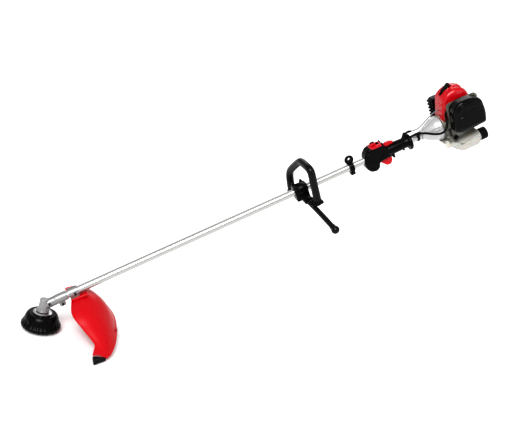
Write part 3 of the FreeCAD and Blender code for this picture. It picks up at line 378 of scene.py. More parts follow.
def turned(name, profile, finish, axis=(0, 0, 1), origin=(0, 0, 0), place=TUBE, count=72,
           wave=None, corner=0.8, hollow=True):
    """A turned piece from (radius, height) corners: a closed ring of material, or with
    hollow=False a solid whose profile starts and ends on the axis.  `wave` changes the
    radius by angle, radius and height."""
    profile = soften(profile, corner, 3, closed=hollow)
    turn = Vector((0, 0, 1)).rotation_difference(Vector(axis)).to_matrix()
    rings = []
    for radius, height in profile:
        ring = []
        for step in range(count):
            angle = TAU * step / count
            reach = wave(angle, radius, height) if wave else radius
            at = Vector((reach * math.cos(angle), reach * math.sin(angle), height))
            ring.append(turn @ at + Vector(origin))
        rings.append(ring)
    return rings_piece(name, rings, finish, place, loop=hollow)


def rod(radius, start, end):
    """A plain round bar or cutter between two points."""
    start, end = Vector(start), Vector(end)
    length = (end - start).length
    return turned("Rod", [(0, 0), (radius, 0), (radius, length), (0, length)], BLACK,
                  end - start, start, count=40, corner=0, hollow=False)


def slab(u_low, u_high, v_low, v_high, low, high, axis="Y", radius=0.6, edge=0.0,
         finish=BLACK):
    """A rectangular block or cutter with softened corners."""
    return pillow("Slab", oblong(u_low, u_high, v_low, v_high, radius, 3), low, high, finish,
                  edge, axis=axis, steps=3)


def nurbs_line(controls):
    """Points along the smooth NURBS spline that has these control points."""
    curve = bpy.data.curves.new("Line", "CURVE")
    curve.dimensions = "3D"
    curve.resolution_u = 14
    spline = curve.splines.new("NURBS")
    spline.points.add(len(controls) - 1)
    for point, place in zip(spline.points, controls):
        point.co = (*place, 1)
    spline.order_u = 3
    spline.use_endpoint_u = True
    holder = bpy.data.objects.new("Line", curve)
    bpy.context.scene.collection.objects.link(holder)
    bpy.context.view_layer.update()
    mesh = bpy.data.meshes.new_from_object(holder)
    line = [v.co.copy() for v in mesh.vertices]
    drop(holder)
    bpy.data.curves.remove(curve)
    bpy.data.meshes.remove(mesh)
    return line


def sweep(name, line, radius, finish, place=TUBE, step=2.0, count=24, cap=0.0):
    """A round bar along a line.  radius is a number, or a function of the distance from
    the start and from the end, and `cap` rounds both ends over."""
    far = [0.0]
    for before, after in zip(line, line[1:]):
        far.append(far[-1] + (after - before).length)
    total = far[-1]
    rows = max(4, round(total / step))
    spots = [total * row / rows for row in range(rows + 1)]
    if cap:
        extra = [cap * (1 - math.cos(a * math.pi / 12)) for a in range(1, 6)]
        spots = sorted(set(spots + extra + [total - e for e in extra]))
        spots = [s for s in spots if s in extra or total - s in extra or s in (0, total)
                 or cap < s < total - cap]
    rings, side, last = [], None, 0
    for spot in spots:
        while last < len(far) - 2 and far[last + 1] < spot:
            last += 1
        span = far[last + 1] - far[last]
        share = (spot - far[last]) / span
        here = line[last].lerp(line[last + 1], share)
        before, after = max(0, last - 1), min(len(line) - 1, last + 2)
        near = (line[last + 1] - line[last]).normalized()
        ahead = (line[after] - line[last + 1]).normalized() if after > last + 1 else near
        behind = (line[last] - line[before]).normalized() if last > before else near
        along = (behind + near).lerp(near + ahead, share).normalized()
        if side is None:
            side = along.orthogonal().normalized()
            if abs(along.z) < 0.9:
                side = along.cross(Vector((0, 0, 1))).normalized()
        side = (side - along * side.dot(along)).normalized()
        other = along.cross(side)
        reach = radius(spot, total - spot) if callable(radius) else radius
        rim = min(spot, total - spot)
        if cap and rim < cap:
            reach -= cap * (1 - math.sqrt(max(0.0, 1 - (1 - rim / cap) ** 2)))
        rings.append([here + side * (reach * math.cos(TAU * i / count))
                      + other * (reach * math.sin(TAU * i / count))
                      for i in range(count)])
    return rings_piece(name, rings, finish, place)


def mount(obj, slot, *nodes, body="root"):
    """Let a finished piece ride on a body and stand for CAD nodes."""
    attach(obj, body)
    if nodes:
        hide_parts(*nodes)
    return obj


def step_up(low, high, value):
    """0 below low, 1 above high, smooth between."""
    share = min(1.0, max(0.0, (value - low) / (high - low)))
    return share * share * (3 - 2 * share)


# ------------------------------------------------------------------------ trimmer head

SKIRT_RIBS = 28


def ribbed_skirt(angle, radius, height):
    """Flutes round the flared part of the bell."""
    if radius < 57 or height > 44 or height < 8.5:
        return radius
    depth = 1.7 * step_up(44, 30, height) if height > 30 else 1.7
    flute = 0.5 + 0.5 * math.cos(SKIRT_RIBS * angle)
    return radius - depth * flute ** 2


def head_bell():
    bell = turned("head_bell", [
        (5.1, 60), (30, 60), (31, 59), (40, 59), (44, 60), (49, 58.5), (54, 52), (57, 45),
        (60.5, 32), (66, 22.5), (68, 20), (68, 12.5), (64.5, 8.2), (57.6, 8.2), (57.6, 14),
        (63, 15.5), (62, 19), (56, 30), (52, 44), (48, 54), (9, 54), (9, 46), (5.1, 46)],
        BLACK, place=GROUND, count=SKIRT_RIBS * 8, wave=ribbed_skirt, corner=2.0)
    mount(bell, "black_plastic", "head_housing", body="head")

    def scalloped(angle, radius, height):
        return radius - 1.6 * max(0.0, math.cos(10 * angle)) ** 3 if radius < 30 else radius

    cover = turned("head_bottom_ring", [
        (27.5, 9.4), (29.5, 8.9), (34, 8.9), (36, 10), (50, 10), (52, 8.9), (57.2, 8.9),
        (57.2, 14), (27.5, 14)], BLACK, place=GROUND, count=160, wave=scalloped)
    mount(cover, "black_plastic", "head_cover", body="head")

    def knurled(angle, radius, height):
        grip = step_up(17, 24, radius) * max(0.0, math.cos(8 * angle)) ** 2
        return radius - 1.2 * grip

    knob = turned("bump_knob", [
        (0, 0.2), (8, 0), (17, 0.2), (22, 2.2), (25, 6), (25.4, 17.8), (7.9, 17.8),
        (7.9, 29), (0, 29)], DARK, place=GROUND, count=128, wave=knurled, corner=2.5,
        hollow=False)
    mount(knob, "dark_plastic", "tap_knob", body="tap")


def spool_spring():
    """Open coil between bell and spool."""
    low, high, radius, coils, wire = 31.2, 52.8, 11.5, 4.5, 0.9
    line = []
    for step in range(181):
        share = step / 180
        angle = TAU * coils * share
        line.append(Vector((radius * math.cos(angle), radius * math.sin(angle),
                            low + (high - low) * share)))
    coil = sweep("feed_spring", line, wire, STEEL, GROUND, 0.8, 12, cap=0.3)
    mount(coil, "steel", "head_spring", body="head")
    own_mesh(coil)


# ---------------------------------------------------------------------------- gearcase

def gearcase():
    """Cast angle housing: an eight-sided post with a flat top, and the tube's socket."""
    def faceted(angle, radius, height):
        facets = step_up(70, 74, height) * (1 - step_up(98, 106, height))
        return radius * (1 - 0.03 * facets * math.cos(4 * angle) ** 2)

    post = turned("Post", [
        (0, 67), (21.5, 67), (22.5, 68.5), (22.5, 71), (18.4, 73), (15.0, 100), (14.4, 110.5),
        (13.2, 112), (0, 112)], CAST, place=GROUND, count=96, wave=faceted, corner=1,
        hollow=False)
    arm = turned("Arm", [
        (0, 0), (15.4, 0), (15.4, 42), (16.3, 45), (16.3, 84.5), (15.2, 86), (0, 86)], CAST,
        (1, 0, 0), count=64, corner=1.5, hollow=False)
    lug = slab(50, 72, -30, -11, -8.6, 8.6, "Y", 5, 1.5)
    ear = rod(6.2, (61, -9, -22), (61, 9, -22))
    plug = rod(6.4, (20, -17, 2), (20, -8, 2))
    rib = slab(4, 50, -19, -10, -2.4, 2.4, "Y", 4, 1.2)
    body = moulded("gearcase_casting", [post, arm, lug, ear, plug, rib], 0.7, 2)
    slit = slab(45, 88, -31, -13.4, -1.1, 1.1)
    socket = rod(TUBE_HOLE, (70, 0, 0), (90, 0, 0))
    body = carve(body, slit, socket)
    mount(body, "cast_alloy", "gearcase")
    plug_screw = turned("grease_plug", [
        (0, -2.4), (2.4, -2.4), (2.6, 0.6), (4.3, 0.6), (4.3, 1.6), (0, 1.6)][::-1],
        BLACK_STEEL, (0, -1, 0), (20, -16.6, 2), count=48, corner=0.3, hollow=False)
    mount(plug_screw, "black_steel")


# ------------------------------------------------------------------------------- guard

# Sections from the right end to the left: a point beside the head, a point on the outer
# rim and how far the shell bulges up between them.
GUARD_SECTIONS = (
    ((88, 94, 110), (150, 98.8, 116), 5.0),
    ((86, 60, 114), (205, 70, 92), 28.0),
    ((92, 0, 114), (246, 0, 62), 44.0),
    ((86, -68, 92), (244, -80, 44), 38.0),
    ((116, -120, 66), (227, -150, 31), 24.0),
    ((150, -172, 40), (204, -200, 19), 12.0),
    ((146, -196, 24), (194, -212, 16), 9.0),
    ((140, -212, 18), (183, -223, 14), 6.0),
)
GUARD_WALL = 3.0
RIM_DROP = Vector((0, 0, 1.6))


def through(points, position):
    """The smooth curve through the points, at a position counted in points."""
    index = min(int(position), len(points) - 2)
    t = position - index
    p1, p2 = points[index], points[index + 1]
    p0 = points[index - 1] if index else p1 * 2 - p2
    p3 = points[index + 2] if index + 2 < len(points) else p2 * 2 - p1
    return (p1 * 2 + (p2 - p0) * t + (p0 * 2 - p1 * 5 + p2 * 4 - p3) * t ** 2
            + (p1 * 3 - p0 - p2 * 3 + p3) * t ** 3) / 2


def guard_point(position, share):
    """A point on the guard's upper skin: position runs from its right end to its left,
    share from the edge beside the head to the outer rim."""
    inner = through([Vector(s[0]) for s in GUARD_SECTIONS], position)
    outer = through([Vector(s[1]) for s in GUARD_SECTIONS], position)
    bulge = through([Vector((s[2], 0, 0)) for s in GUARD_SECTIONS], position).x
    spot = inner.lerp(outer, share)
    spot.z += 4 * bulge * share * (1 - share)
    return spot


def guard():
    along, across = 84, 26
    last = len(GUARD_SECTIONS) - 1
    skin = [[guard_point(last * i / along, j / across) for j in range(across + 1)]
            for i in range(along + 1)]
    rings = []
    for i in range(along + 1):
        upper, lower = [], []
        for j in range(across + 1):
            down = skin[min(i + 1, along)][j] - skin[max(i - 1, 0)][j]
            over = skin[i][min(j + 1, across)] - skin[i][max(j - 1, 0)]
            normal = over.cross(down).normalized()
            if normal.z < 0:
                normal = -normal
            upper.append(skin[i][j])
            lower.append(skin[i][j] - normal * GUARD_WALL)
        rings.append(upper + lower[::-1])
    shell = rings_piece("Shell", rings, GUARD_RED, GROUND)

    def rim(share, radius, name, low=0.03, high=1.0):
        line = [guard_point(last * (low + (high - low) * i / 120), share)
                - RIM_DROP for i in range(121)]
        return sweep(name, line, radius, GUARD_RED, GROUND, 3.0, 12, cap=1.5)

    outer = rim(0.995, 3.0, "OuterRim")
    inner = rim(0.008, 2.6, "InnerRim")
    ends = []
    for position in (0.13, last - 0.02):
        line = [guard_point(position, j / 30) - RIM_DROP for j in range(31)]
        ends.append(sweep("EndRim", line, 2.4, GUARD_RED, GROUND, 3.0, 12, cap=1.2))
    ribs = [rim(share, 1.5, "Rib", 0.12, 0.93) for share in (0.3, 0.55, 0.8)]
    boss = slab(96, 146, -15.5, 15.5, -46, -22.3, "Z", 5, 1.2, finish=GUARD_RED)
    seat = slab(91.6, 152, -20.5, 20.5, -28, -16.6, "Z", 7, 2.5, finish=GUARD_RED)
    made = joined("guard_shell", [shell, outer, inner, *ends, *ribs, boss, seat])
    mount(made, "red_plastic", "guard")

    tip = pillow("guard_corner", soften([(139, -213.5), (184, -224.5), (135, -254.5)],
                                        [3, 3, 6], 6), 3.2, 15.5, RUBBER, 1.6, axis="Z",
                 place=GROUND)
    mount(tip, "rubber_black", "guard_tip")


def guard_bracket():
    collar = turned("Collar", [(BAND_BORE, 92), (18, 92), (18, 126), (BAND_BORE, 126)],
                    CAST, (1, 0, 0), corner=1.2)
    web = slab(92.5, 125.5, -13.6, 13.6, -20, -12, "Z", 4, 0.5)
    flat = slab(94, 148, -18, 18, -21.8, -18, "Z", 6, 1.0)
    body = moulded("guard_clamp", [collar, web, flat], 0.7, 3)
    body = carve(body, rod(TUBE_HOLE, (90, 0, 0), (128, 0, 0)),
                 slab(90, 128, 8, 30, -1.0, 1.0))
    mount(body, "cast_alloy", "guard_bracket")


# ------------------------------------------------------- front handle and barrier bar

LOOP_ROUTE = ((961, 72, -30), (967, 74.5, 5), (972, 76, 28), (978, 71, 48),
              (988, 49, 68), (1000, 20, 90), (1008, -2, 104), (1010, -34, 103),
              (1012, -68, 101), (1013, -81, 90), (1010, -80, 54), (1007, -79.5, 10),
              (1004, -80, -30))
BAR_ROUTE = ((976, -22, -22), (982, -56, -35), (988, -86, -47), (994, -124, -62),
             (1005.0, -200, -92))
BALL_RADIUS = 14.5
FEET = ((961, 72), (1004, -80))
CLAMP_SCREWS = [(x, y) for x in (960, 990) for y in (-17.5, 17.5)]
RING_PITCH = 5.2


def loop_handle():
    def sleeve(start, end):
        """A smooth sleeve with a few raised rings near its feet."""
        near = min(start, end)
        ring = math.cos(TAU * near / RING_PITCH) if 8 < near < 40 else 0
        return 13.6 + 0.35 * ring + 0.4 * (1 - step_up(0, 6, near))

    loop = sweep("loop_sleeve_bar", nurbs_line(LOOP_ROUTE), sleeve, FOAM_GRIP, step=1.3,
                 count=40, cap=1.5)
    mount(loop, "loop_black", "loop_grip")

    def bar_radius(start, end):
        centre = abs(end - BALL_RADIUS)
        ball = math.sqrt(max(0.0, BALL_RADIUS ** 2 - centre ** 2))
        neck = 9.4 + 1.6 * (1 - step_up(0, 12, abs(end - 2 * BALL_RADIUS)))
        return max(0.4, ball if end < BALL_RADIUS else max(ball, neck))

    line = nurbs_line(BAR_ROUTE)
    tip = line[-1] + (line[-1] - line[-2]).normalized() * (BALL_RADIUS - 4)
    bar = sweep("barrier_rod", line + [tip], bar_radius, FOAM_GRIP, step=1.0, count=40)
    mount(bar, "loop_black", "barrier_bar")

    top = soften([(-22, 0.5), (-22, 13), (-13, 23.8), (13, 23.8), (22, 13), (22, 0.5)],
                 [1, 4, 6, 6, 4, 1])
    upper = pillow("ClampTop", top, 950, 1000, BLACK, 2.5, axis="X")
    seats = [rod(6, (x, y, 18), (x, y, 24)) for x, y in CLAMP_SCREWS]
    upper = moulded("loop_clamp_top", [upper, *seats], 0.8, 2)
    upper = carve(upper, rod(TUBE_HOLE, (945, 0, 0), (1005, 0, 0)),
                  *[rod(4.5, (x, y, 23), (x, y, 40)) for x, y in CLAMP_SCREWS])
    mount(upper, "black_plastic", "loop_clamp")

    far, near = Vector(FEET[0]), Vector(FEET[1])
    along = (near - far).normalized()
    side = Vector((-along.y, along.x)) * 13
    arm = [far - along * 14 + side, far - along * 14 - side,
           near + along * 14 - side, near + along * 14 + side]
    arm = pillow("Arm", soften(arm, 10), -38, -30, BLACK, 2.0, axis="Z")
    saddle = slab(950, 1000, -22, 22, -32, -0.5, "Z", 5, 2.0)
    pad = slab(979, 1023, -92, -68, -38, -30, "Z", 8, 2.0)
    cups = [turned("Cup", [(0, -34), (17, -34), (16, -27), (15, -22), (0, -22)], BLACK,
                   origin=(x, y, 0), corner=1, hollow=False) for x, y in FEET]
    start = Vector(BAR_ROUTE[0])
    way = (Vector(BAR_ROUTE[1]) - start).normalized()
    collar = rod(13.5, start - way * 8, start + way * 26)
    lower = moulded("loop_clamp_base", [arm, saddle, pad, collar, *cups], 0.95, 3)
    lower = carve(lower, rod(TUBE_HOLE, (945, 0, 0), (1005, 0, 0)))
    mount(lower, "black_plastic", "loop_base")


def harness_ring():
    collar = turned("Collar", [(BAND_BORE, 1168), (19, 1168), (19, 1186),
                               (BAND_BORE, 1186)], BLACK, (1, 0, 0), corner=1.5)
    lug = slab(1168, 1186, -30, -14, -9, 9, "Y", 4, 1.5)
    neck = slab(1167, 1187, 12, 24, -4, 4, "Y", 1, 0.5)
    eye = pillow("Eye", disc(17, 1177, 29), -4.2, 4.2, BLACK, 3)
    wings = [rod(4.6, (1177, y, -6), (1177, y * 1.32, -7)) for y in (-18, 18)]
    made = moulded("harness_eye", [collar, lug, neck, eye, *wings], 0.6, 3)
    made = carve(made, rod(5.5, (1177, -10, 33), (1177, 10, 33)),
                 rod(TUBE_HOLE, (1160, 0, 0), (1190, 0, 0)),
                 slab(1165, 1190, -32, -13.4, -1.1, 1.1))
    mount(made, "black_plastic", "harness_clamp")


# ----------------------------------------------------------------------- throttle grip

GRIP_HEAD = ((1225, -8), (1232, 24), (1246, 40), (1262, 45), (1300, 43), (1322, 20),
             (1322, -20), (1282, -24), (1276, -44), (1262, -52), (1240, -46), (1228, -30))
HALF_SEAM = 0.35


def rear_grip():
    head = pillow("Head", soften(GRIP_HEAD, 7), -21, 21, BLACK, 8)

    def palm(angle, radius, height):
        swell = 1.2 * math.sin(math.pi * (height - 1318) / 70) if radius > 18 else 0
        return radius + swell if 1318 < height < 1388 else radius

    barrel = turned("Barrel", [
        (0, 1306), (19, 1306)] + [(19.7, 1314 + 6 * n) for n in range(14)] + [
        (20.4, 1398), (21, 1406), (0, 1406)], BLACK, (1, 0, 0), wave=palm, corner=2,
        hollow=False)
    flange = turned("Flange", [(0, 0), (28, 0), (29.9, 2.5), (29.9, 9), (28, 12), (0, 12)],
                    BLACK, (1, 0, 0), (1404, 0, -3), corner=2, hollow=False)
    fin = pillow("Fin", soften([(1384, 16), (1406, 12), (1406, 37.5), (1398, 38)],
                               [2, 2, 3, 8]), -6, 6, BLACK, 2.5)
    shroud = pillow("Shroud", soften([(1312, -14), (1344, -12), (1345, -34), (1338, -35),
                                      (1334, -25), (1312, -24)], 3), -11, 11, BLACK, 2.5)
    strap = slab(1304, 1309, 28, 44.5, -19, 19, "Y", 2, 2)
    whole = moulded("grip_body", [head, barrel, flange, fin, shroud, strap], 0.85, 3)
    lines = [turned("Groove", [(19.9, x), (23, x), (23, x + 2.0), (19.9, x + 2.0)], BLACK,
                    (1, 0, 0), corner=0.2) for x in (1322 + 8 * n for n in range(8))]
    whole = carve(
        whole, rod(TUBE_HOLE, (1215, 0, 0), (1425, 0, 0)),
        slab(1262.5, 1298, 37, 50, -8.9, 8.9), slab(1281, 1336, -60, -12, -7.9, 7.9),
        slab(1303, 1356, 12, 60, -6.4, 6.4))
    whole = carve(whole, *lines)
    panel = pillow("Panel", soften([(1236, -4), (1242, 26), (1258, 34), (1290, 32),
                                    (1300, 14), (1296, -10), (1262, -16)], 6), -22, 22,
                   BLACK, 0.4)
    core = pillow("Core", soften([(1238, -2), (1244, 25), (1259, 32), (1289, 30),
                                  (1298, 13), (1294, -8), (1262, -14)], 5), -30, 30,
                  BLACK, 0.2)
    channel = carve(panel, core)
    inner = slab(1200, 1440, -80, 80, -20.2, 20.2)
    channel = carve(channel, inner)
    whole = carve(whole, channel)
    left = whole.copy()
    left.data = whole.data.copy()
    bpy.context.scene.collection.objects.link(left)
    left.name = "grip_shell_left"
    whole.name = "grip_shell_right"
    carve(left, slab(1200, 1440, -80, 80, -HALF_SEAM, 60))
    carve(whole, slab(1200, 1440, -80, 80, -60, HALF_SEAM))
    mount(left, "black_plastic", "grip_left")
    mount(whole, "black_plastic", "grip_right")


def switch_bezel():
    """Red panel let into the grip round the stop switch, on top and down its near side."""
    side = pillow("Side", soften([(1262, 37), (1264, 44), (1301, 43.5), (1303, 37)], 2),
                  -21, -15, CONTROL_RED, 1.4)
    top = pillow("Top", soften([(1258, -19), (1303, -19), (1303, 12), (1258, 12)], 4),
                 40, 44.8, CONTROL_RED, 1.2, axis="Z")
    made = moulded("switch_bezel", [side, top], 0.6, 3)
    made = carve(made, slab(1262.2, 1298.2, 36, 60, -8.9, 8.9))
    mount(made, "red_plastic")


def grip_controls():
    blade = pillow("trigger_blade", soften([
        (1286, -20), (1294, -19.5), (1328, -24), (1333, -30), (1331, -44), (1322, -53),
        (1308, -52), (1298, -42), (1289, -33), (1285, -28)], 3), -7, 7, CONTROL_RED, 2.4)
    mount(blade, "red_plastic", "throttle_trigger", body="trigger")

    lever = pillow("lockout_lever", soften([
        (1304.5, 19), (1313, 17), (1350, 22), (1353, 25), (1349, 29.5), (1338, 33.5),
        (1322, 34.5), (1307, 27)], 3), -5.6, 5.6, CONTROL_RED, 1.8)
    mount(lever, "red_plastic", "trigger_lockout", body="lockout")

    foot = pillow("Foot", soften([(1263, 37.2), (1287, 37.2), (1287, 45), (1284, 53),
                                  (1276, 55), (1267, 53), (1263, 45)],
                                 [0.5, 0.5, 2, 3, 2, 3, 2]), -8, 8, CONTROL_RED, 2)
    pads = [slab(1269 + 3.6 * n, 1271.2 + 3.6 * n, 50, 56.3, -6, 6, "Y", 0.7, 0.8,
                 finish=BLACK) for n in range(4)]
    switch = joined("stop_slider", [foot, *pads])
    mount(switch, "red_plastic", "stop_switch", body="switch")


# -------------------------------------------------------------------- cable and wire

CABLE_ROUTE = ((1404, -10, 15), (1428, -16, 24), (1462, -32, 22), (1496, -50, 6),
               (1522, -64, 6), (1539, -70, 27), (1543, -63, 52), (1549, -50.5, 72),
               (1571, -50.5, 84))
WIRE_ROUTE = ((1418, 2, 34), (1446, 4, 25), (1474, 8, 31), (1506, 10, 48),
              (1536, 8, 61), (1560, 6, 66))
CONDUIT_PITCH = 3.0


def cables():
    def conduit(start, end):
        """Split loom tube: narrow rings, with a plain ferrule at each end."""
        if min(start, end) < 9:
            return 4.5
        return 3.75 + 0.75 * (0.5 + 0.5 * math.cos(TAU * start / CONDUIT_PITCH))

    loom = sweep("cable_loom", nurbs_line(CABLE_ROUTE), conduit, RUBBER, step=0.5,
                 count=20, cap=0.8)
    mount(loom, "rubber_black", "throttle_cable")
    wire = sweep("stop_lead", nurbs_line(WIRE_ROUTE), 2.0, WIRE, step=2.0, count=16,
                 cap=0.6)
    mount(wire, "wire_grey", "stop_wire")
    plug = sweep("lead_connector", nurbs_line([(1407, 0.5, 33.5), (1413, 1.2, 34.5),
                                               (1420, 2.1, 33.4), (1429, 2.8, 30.4)]),
                 lambda start, end: 3.9 if abs(start - end) > 3 else 4.6, BLACK, step=1.0,
                 count=20, cap=1.2)
    mount(plug, "black_plastic")
    band = turned("Band", [(BAND_BORE, 1441), (16, 1441), (16, 1450), (BAND_BORE, 1450)],
                  BLACK, (1, 0, 0), corner=1.0)
    hook = turned("Hook", [(4.7, -4.2), (7.0, -4.2), (7.0, 4.2), (4.7, 4.2)], BLACK,
                  (0.88, -0.47, 0.02), (1445.5, -23.6, 22.4), count=40, corner=0.8)
    neck = slab(1441.5, 1449.5, 9, 17, -23, -4, "Y", 2, 1.5)
    mount(joined("cable_holder", [band, hook, neck]), "black_plastic", "cable_clip")


# ------------------------------------------------------------------ engine, seen parts

COVER_PROFILE = ((1540, 28), (1558, 112), (1582, 129), (1618, 136), (1646, 123),
                 (1660, 98), (1664, 62), (1637, 62), (1637, 28))
PRIMER_PLACE = (1562, -66.5, -31)
FUEL_CAP_AXIS = (0, -30, -80)
ROPE_EXIT = Vector((1668, 67, 30))


def clutch_cone():
    def gusseted(angle, radius, height):
        rib = max(0.0, math.cos(6 * angle)) ** 24
        lift = step_up(1469, 1474, height) * (1 - step_up(1522, 1528, height))
        return radius + 2.0 * rib * lift if radius > 19 else radius

    cone = turned("clutch_bell", [
        (TUBE_HOLE, 1460), (18, 1460), (18.6, 1462), (18.6, 1468), (20.6, 1471), (26, 1480),
        (32, 1491), (38, 1503), (42.3, 1512), (43.6, 1524), (45.8, 1526), (45.8, 1535.8),
        (41, 1535.8), (38, 1514), (26, 1501), (16.1, 1501), (16.1, 1487),
        (TUBE_HOLE, 1483)], SILVER, (1, 0, 0), count=288, wave=gusseted, corner=1.6)
    mount(cone, "silver_cast", "clutch_housing")


def engine_cover():
    outline = soften(COVER_PROFILE, [3, 16, 18, 20, 18, 14, 5, 3, 3], 6)
    shell = pillow("Cover", outline, -42, 42, RED, 15, dome=3.5, dome_high=3.5, steps=7)
    ledge = slab(-17, 10, 84, 91, 1548.5, 1562, "X", 2.8, 1.6, finish=RED)
    lower = slab(-24, 24, 37, 42, 1539.5, 1550, "X", 1.8, 1.2, finish=RED)
    spine = pillow("Spine", soften([(1556, 100), (1560, 116), (1584, 132.5), (1618, 139),
                                    (1648, 126), (1640, 110)], 10), -15, 15, RED, 5)
    body = moulded("engine_shroud", [shell, ledge, lower, spine], 0.95, 3)
    hollow = pillow("Hollow", inset([Vector(p) for p in soften(
        [(1543, 10), (1561, 110), (1584, 126), (1618, 132.5), (1643, 121), (1657, 98),
         (1664, 66), (1690, 60), (1690, 10)], 8)], 2.0), -37.5, 37.5, RED, 16)
    body = carve(body, hollow)
    body = carve(
        body, pillow("Recess", oblong(1563, 1615, -9.4, 9.4, 8), 108, 170, RED, 1,
                     axis="Z"),
        slab(1574, 1618, 44, 78, -60, -20, "Y", 3), slab(1580, 1614, 44, 84, 20, 60, "Y", 3))
    slots = [slab(1596 + 9 * n, 1600 + 9 * n, 90, 112, 30, 60, "Y", 1.9)
             for n in range(5)]
    body = carve(body, rod(44.3, (1530, 0, 0), (1660, 0, 0)), *slots)
    mount(body, "red_plastic", "engine_cover")

    line = nurbs_line([(1574, 0, 125), (1582, 0, 131), (1598, 0, 141), (1608, 0, 147.5)])
    boot = sweep("boot", line,
                 lambda start, end: 7.6 + 0.4 * math.cos(TAU * start / 5), RUBBER,
                 step=0.8, count=32, cap=4)
    lead = sweep("Lead", nurbs_line([(1576, 0, 127), (1570, 0, 122), (1567, 0, 112),
                                     (1566, 0, 100)]), 3.4, RUBBER, step=1, count=20)
    mount(joined("spark_cap", [boot, lead]), "rubber_black", "plug_boot")


def muffler_shield():
    box = pillow("Box", oblong(1548, 1634, 4, 90, 9), 44.6, 80, BLACK, 1, 8)
    cavity = slab(1551, 1631, 7, 87, 40, 76.5, "Y", 7, 3)
    gaps = [slab(1560, 1622, 12 + 13 * n, 17 + 13 * n, 70, 90, "Y", 2.4)
            for n in range(6)]
    box = carve(box, cavity, *gaps)
    blades = []
    for n in range(6):
        z = 8 + 13.5 * n
        blades.append(pillow("Blade", soften([(1552, z), (1541.2, z + 1.5), (1541.2, z + 4.5),
                                              (1552, z + 10)], [0.5, 1.2, 1.5, 0.5]),
                             48, 77, BLACK, 1.5))
    made = joined("muffler_grille", [box, *blades])
    mount(made, "black_plastic", "muffler_guard")


def air_cleaner():
    outline = soften([(1553, 6), (1575, -6), (1676, -2), (1681, 40), (1674, 92),
                      (1640, 109), (1590, 112), (1560, 92)], [9, 12, 12, 14, 16, 16, 14, 12],
                     7)
    shell = pillow("Shell", outline, -110.2, -62.9, SATIN_BLACK, 13, 0.8, dome=3.5, steps=7)
    brow = pillow("Brow", soften([(1566, 78), (1592, 100), (1638, 98), (1666, 84),
                                  (1668, 70), (1636, 80), (1594, 82), (1570, 66)], 8),
                  -111, -100, SATIN_BLACK, 2.5)
    step = pillow("Step", soften([(1574, 8), (1668, 10), (1672, 38), (1668, 62),
                                  (1574, 56), (1566, 20)], 10), -110.9, -100,
                  SATIN_BLACK, 3)
    body = moulded("air_cleaner_lid", [shell, brow, step], 0.95, 3)
    room = pillow("Room", inset([Vector(p) for p in outline], 4.0), -104, -50,
                  SATIN_BLACK, 5, 0)
    knuckle = rod(2.35, (1601, -63.0, -6.5), (1629, -63.0, -6.5))
    body = joined("air_cleaner_lid", [carve(body, room), knuckle])
    mount(body, "black_plastic", "air_cover", body="air_door")

    bulb = turned("primer_dome", [
        (0, -5.8), (5.8, -5.8), (5.8, -0.2), (9.4, -0.2), (9.4, 1.4), (8.6, 3.4), (7, 6.2),
        (4, 8.6), (0, 9.4)], RUBBER, (0, -1, 0), PRIMER_PLACE, count=48, corner=1.6,
        hollow=False)
    mount(bulb, "rubber_black", "primer_bulb", body="primer")
    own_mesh(bulb)

    hub = turned("Hub", [(0, 0), (6, 0), (6, 4.6), (4.5, 5.9), (0, 5.9)], DARK, (0, -1, 0),
                 (1547, -62.9, 6), count=48, corner=0.8, hollow=False)
    arm = pillow("ChokeArm", soften([(1544, 6), (1550, 6), (1551, -15), (1547, -18.5),
                                     (1543, -15)], 2), -68.6, -65, DARK, 1.0)
    knob = pillow("ChokeTip", oblong(1542.8, 1551.2, -18.2, -9, 3.5), -71, -65, DARK, 1.5)
    mount(joined("choke_arm", [hub, arm, knob]), "dark_plastic", "choke_lever",
          body="choke")


def fuel_tank():
    profile = [(1520, -47), (1532, -52), (1560, -88), (1588, -108), (1650, -108),
               (1664, -98), (1664, -57), (1560, -57), (1548, -47)]
    outline = soften(profile, [2, 6, 14, 14, 10, 8, 4, 4, 3], 6)
    shell = pillow("Tank", outline, -56, 50, TANK, 16, dome=2, dome_high=2, steps=6)
    seam = pillow("Seam", [Vector(p) for p in inset([Vector(p) for p in outline], -1.0)],
                  -4.2, -1.8, TANK, 0.8)
    neck = turned("Neck", [(0, 1655), (18, 1655), (18, 1666), (15.8, 1667), (15.8, 1676),
                           (0, 1676)], TANK, (1, 0, 0), FUEL_CAP_AXIS, corner=0.8,
                  hollow=False)
    mount(joined("fuel_can", [shell, seam, neck]), "tank_white", "fuel_tank")

    def knurled(angle, radius, height):
        return radius - 0.9 * max(0.0, math.cos(20 * angle)) ** 2 if radius > 20 else radius

    cap = turned("cap_shell", [
        (16.7, 1667), (21.4, 1667), (22, 1668.5), (22, 1690), (20, 1693), (15, 1693),
        (14, 1691.6), (0, 1691.6), (0, 1679.2), (16.7, 1679.2)], BLACK, (1, 0, 0),
        FUEL_CAP_AXIS, count=240, wave=knurled, corner=0.9)
    bar = pillow("Bar", oblong(-32.6, -27.4, -93, -67, 2.4), 1690.5, 1693, BLACK, 0.8,
                 axis="X")
    mount(joined("fuel_cap_shell", [cap, bar]), "black_plastic", "fuel_cap", body="cap")


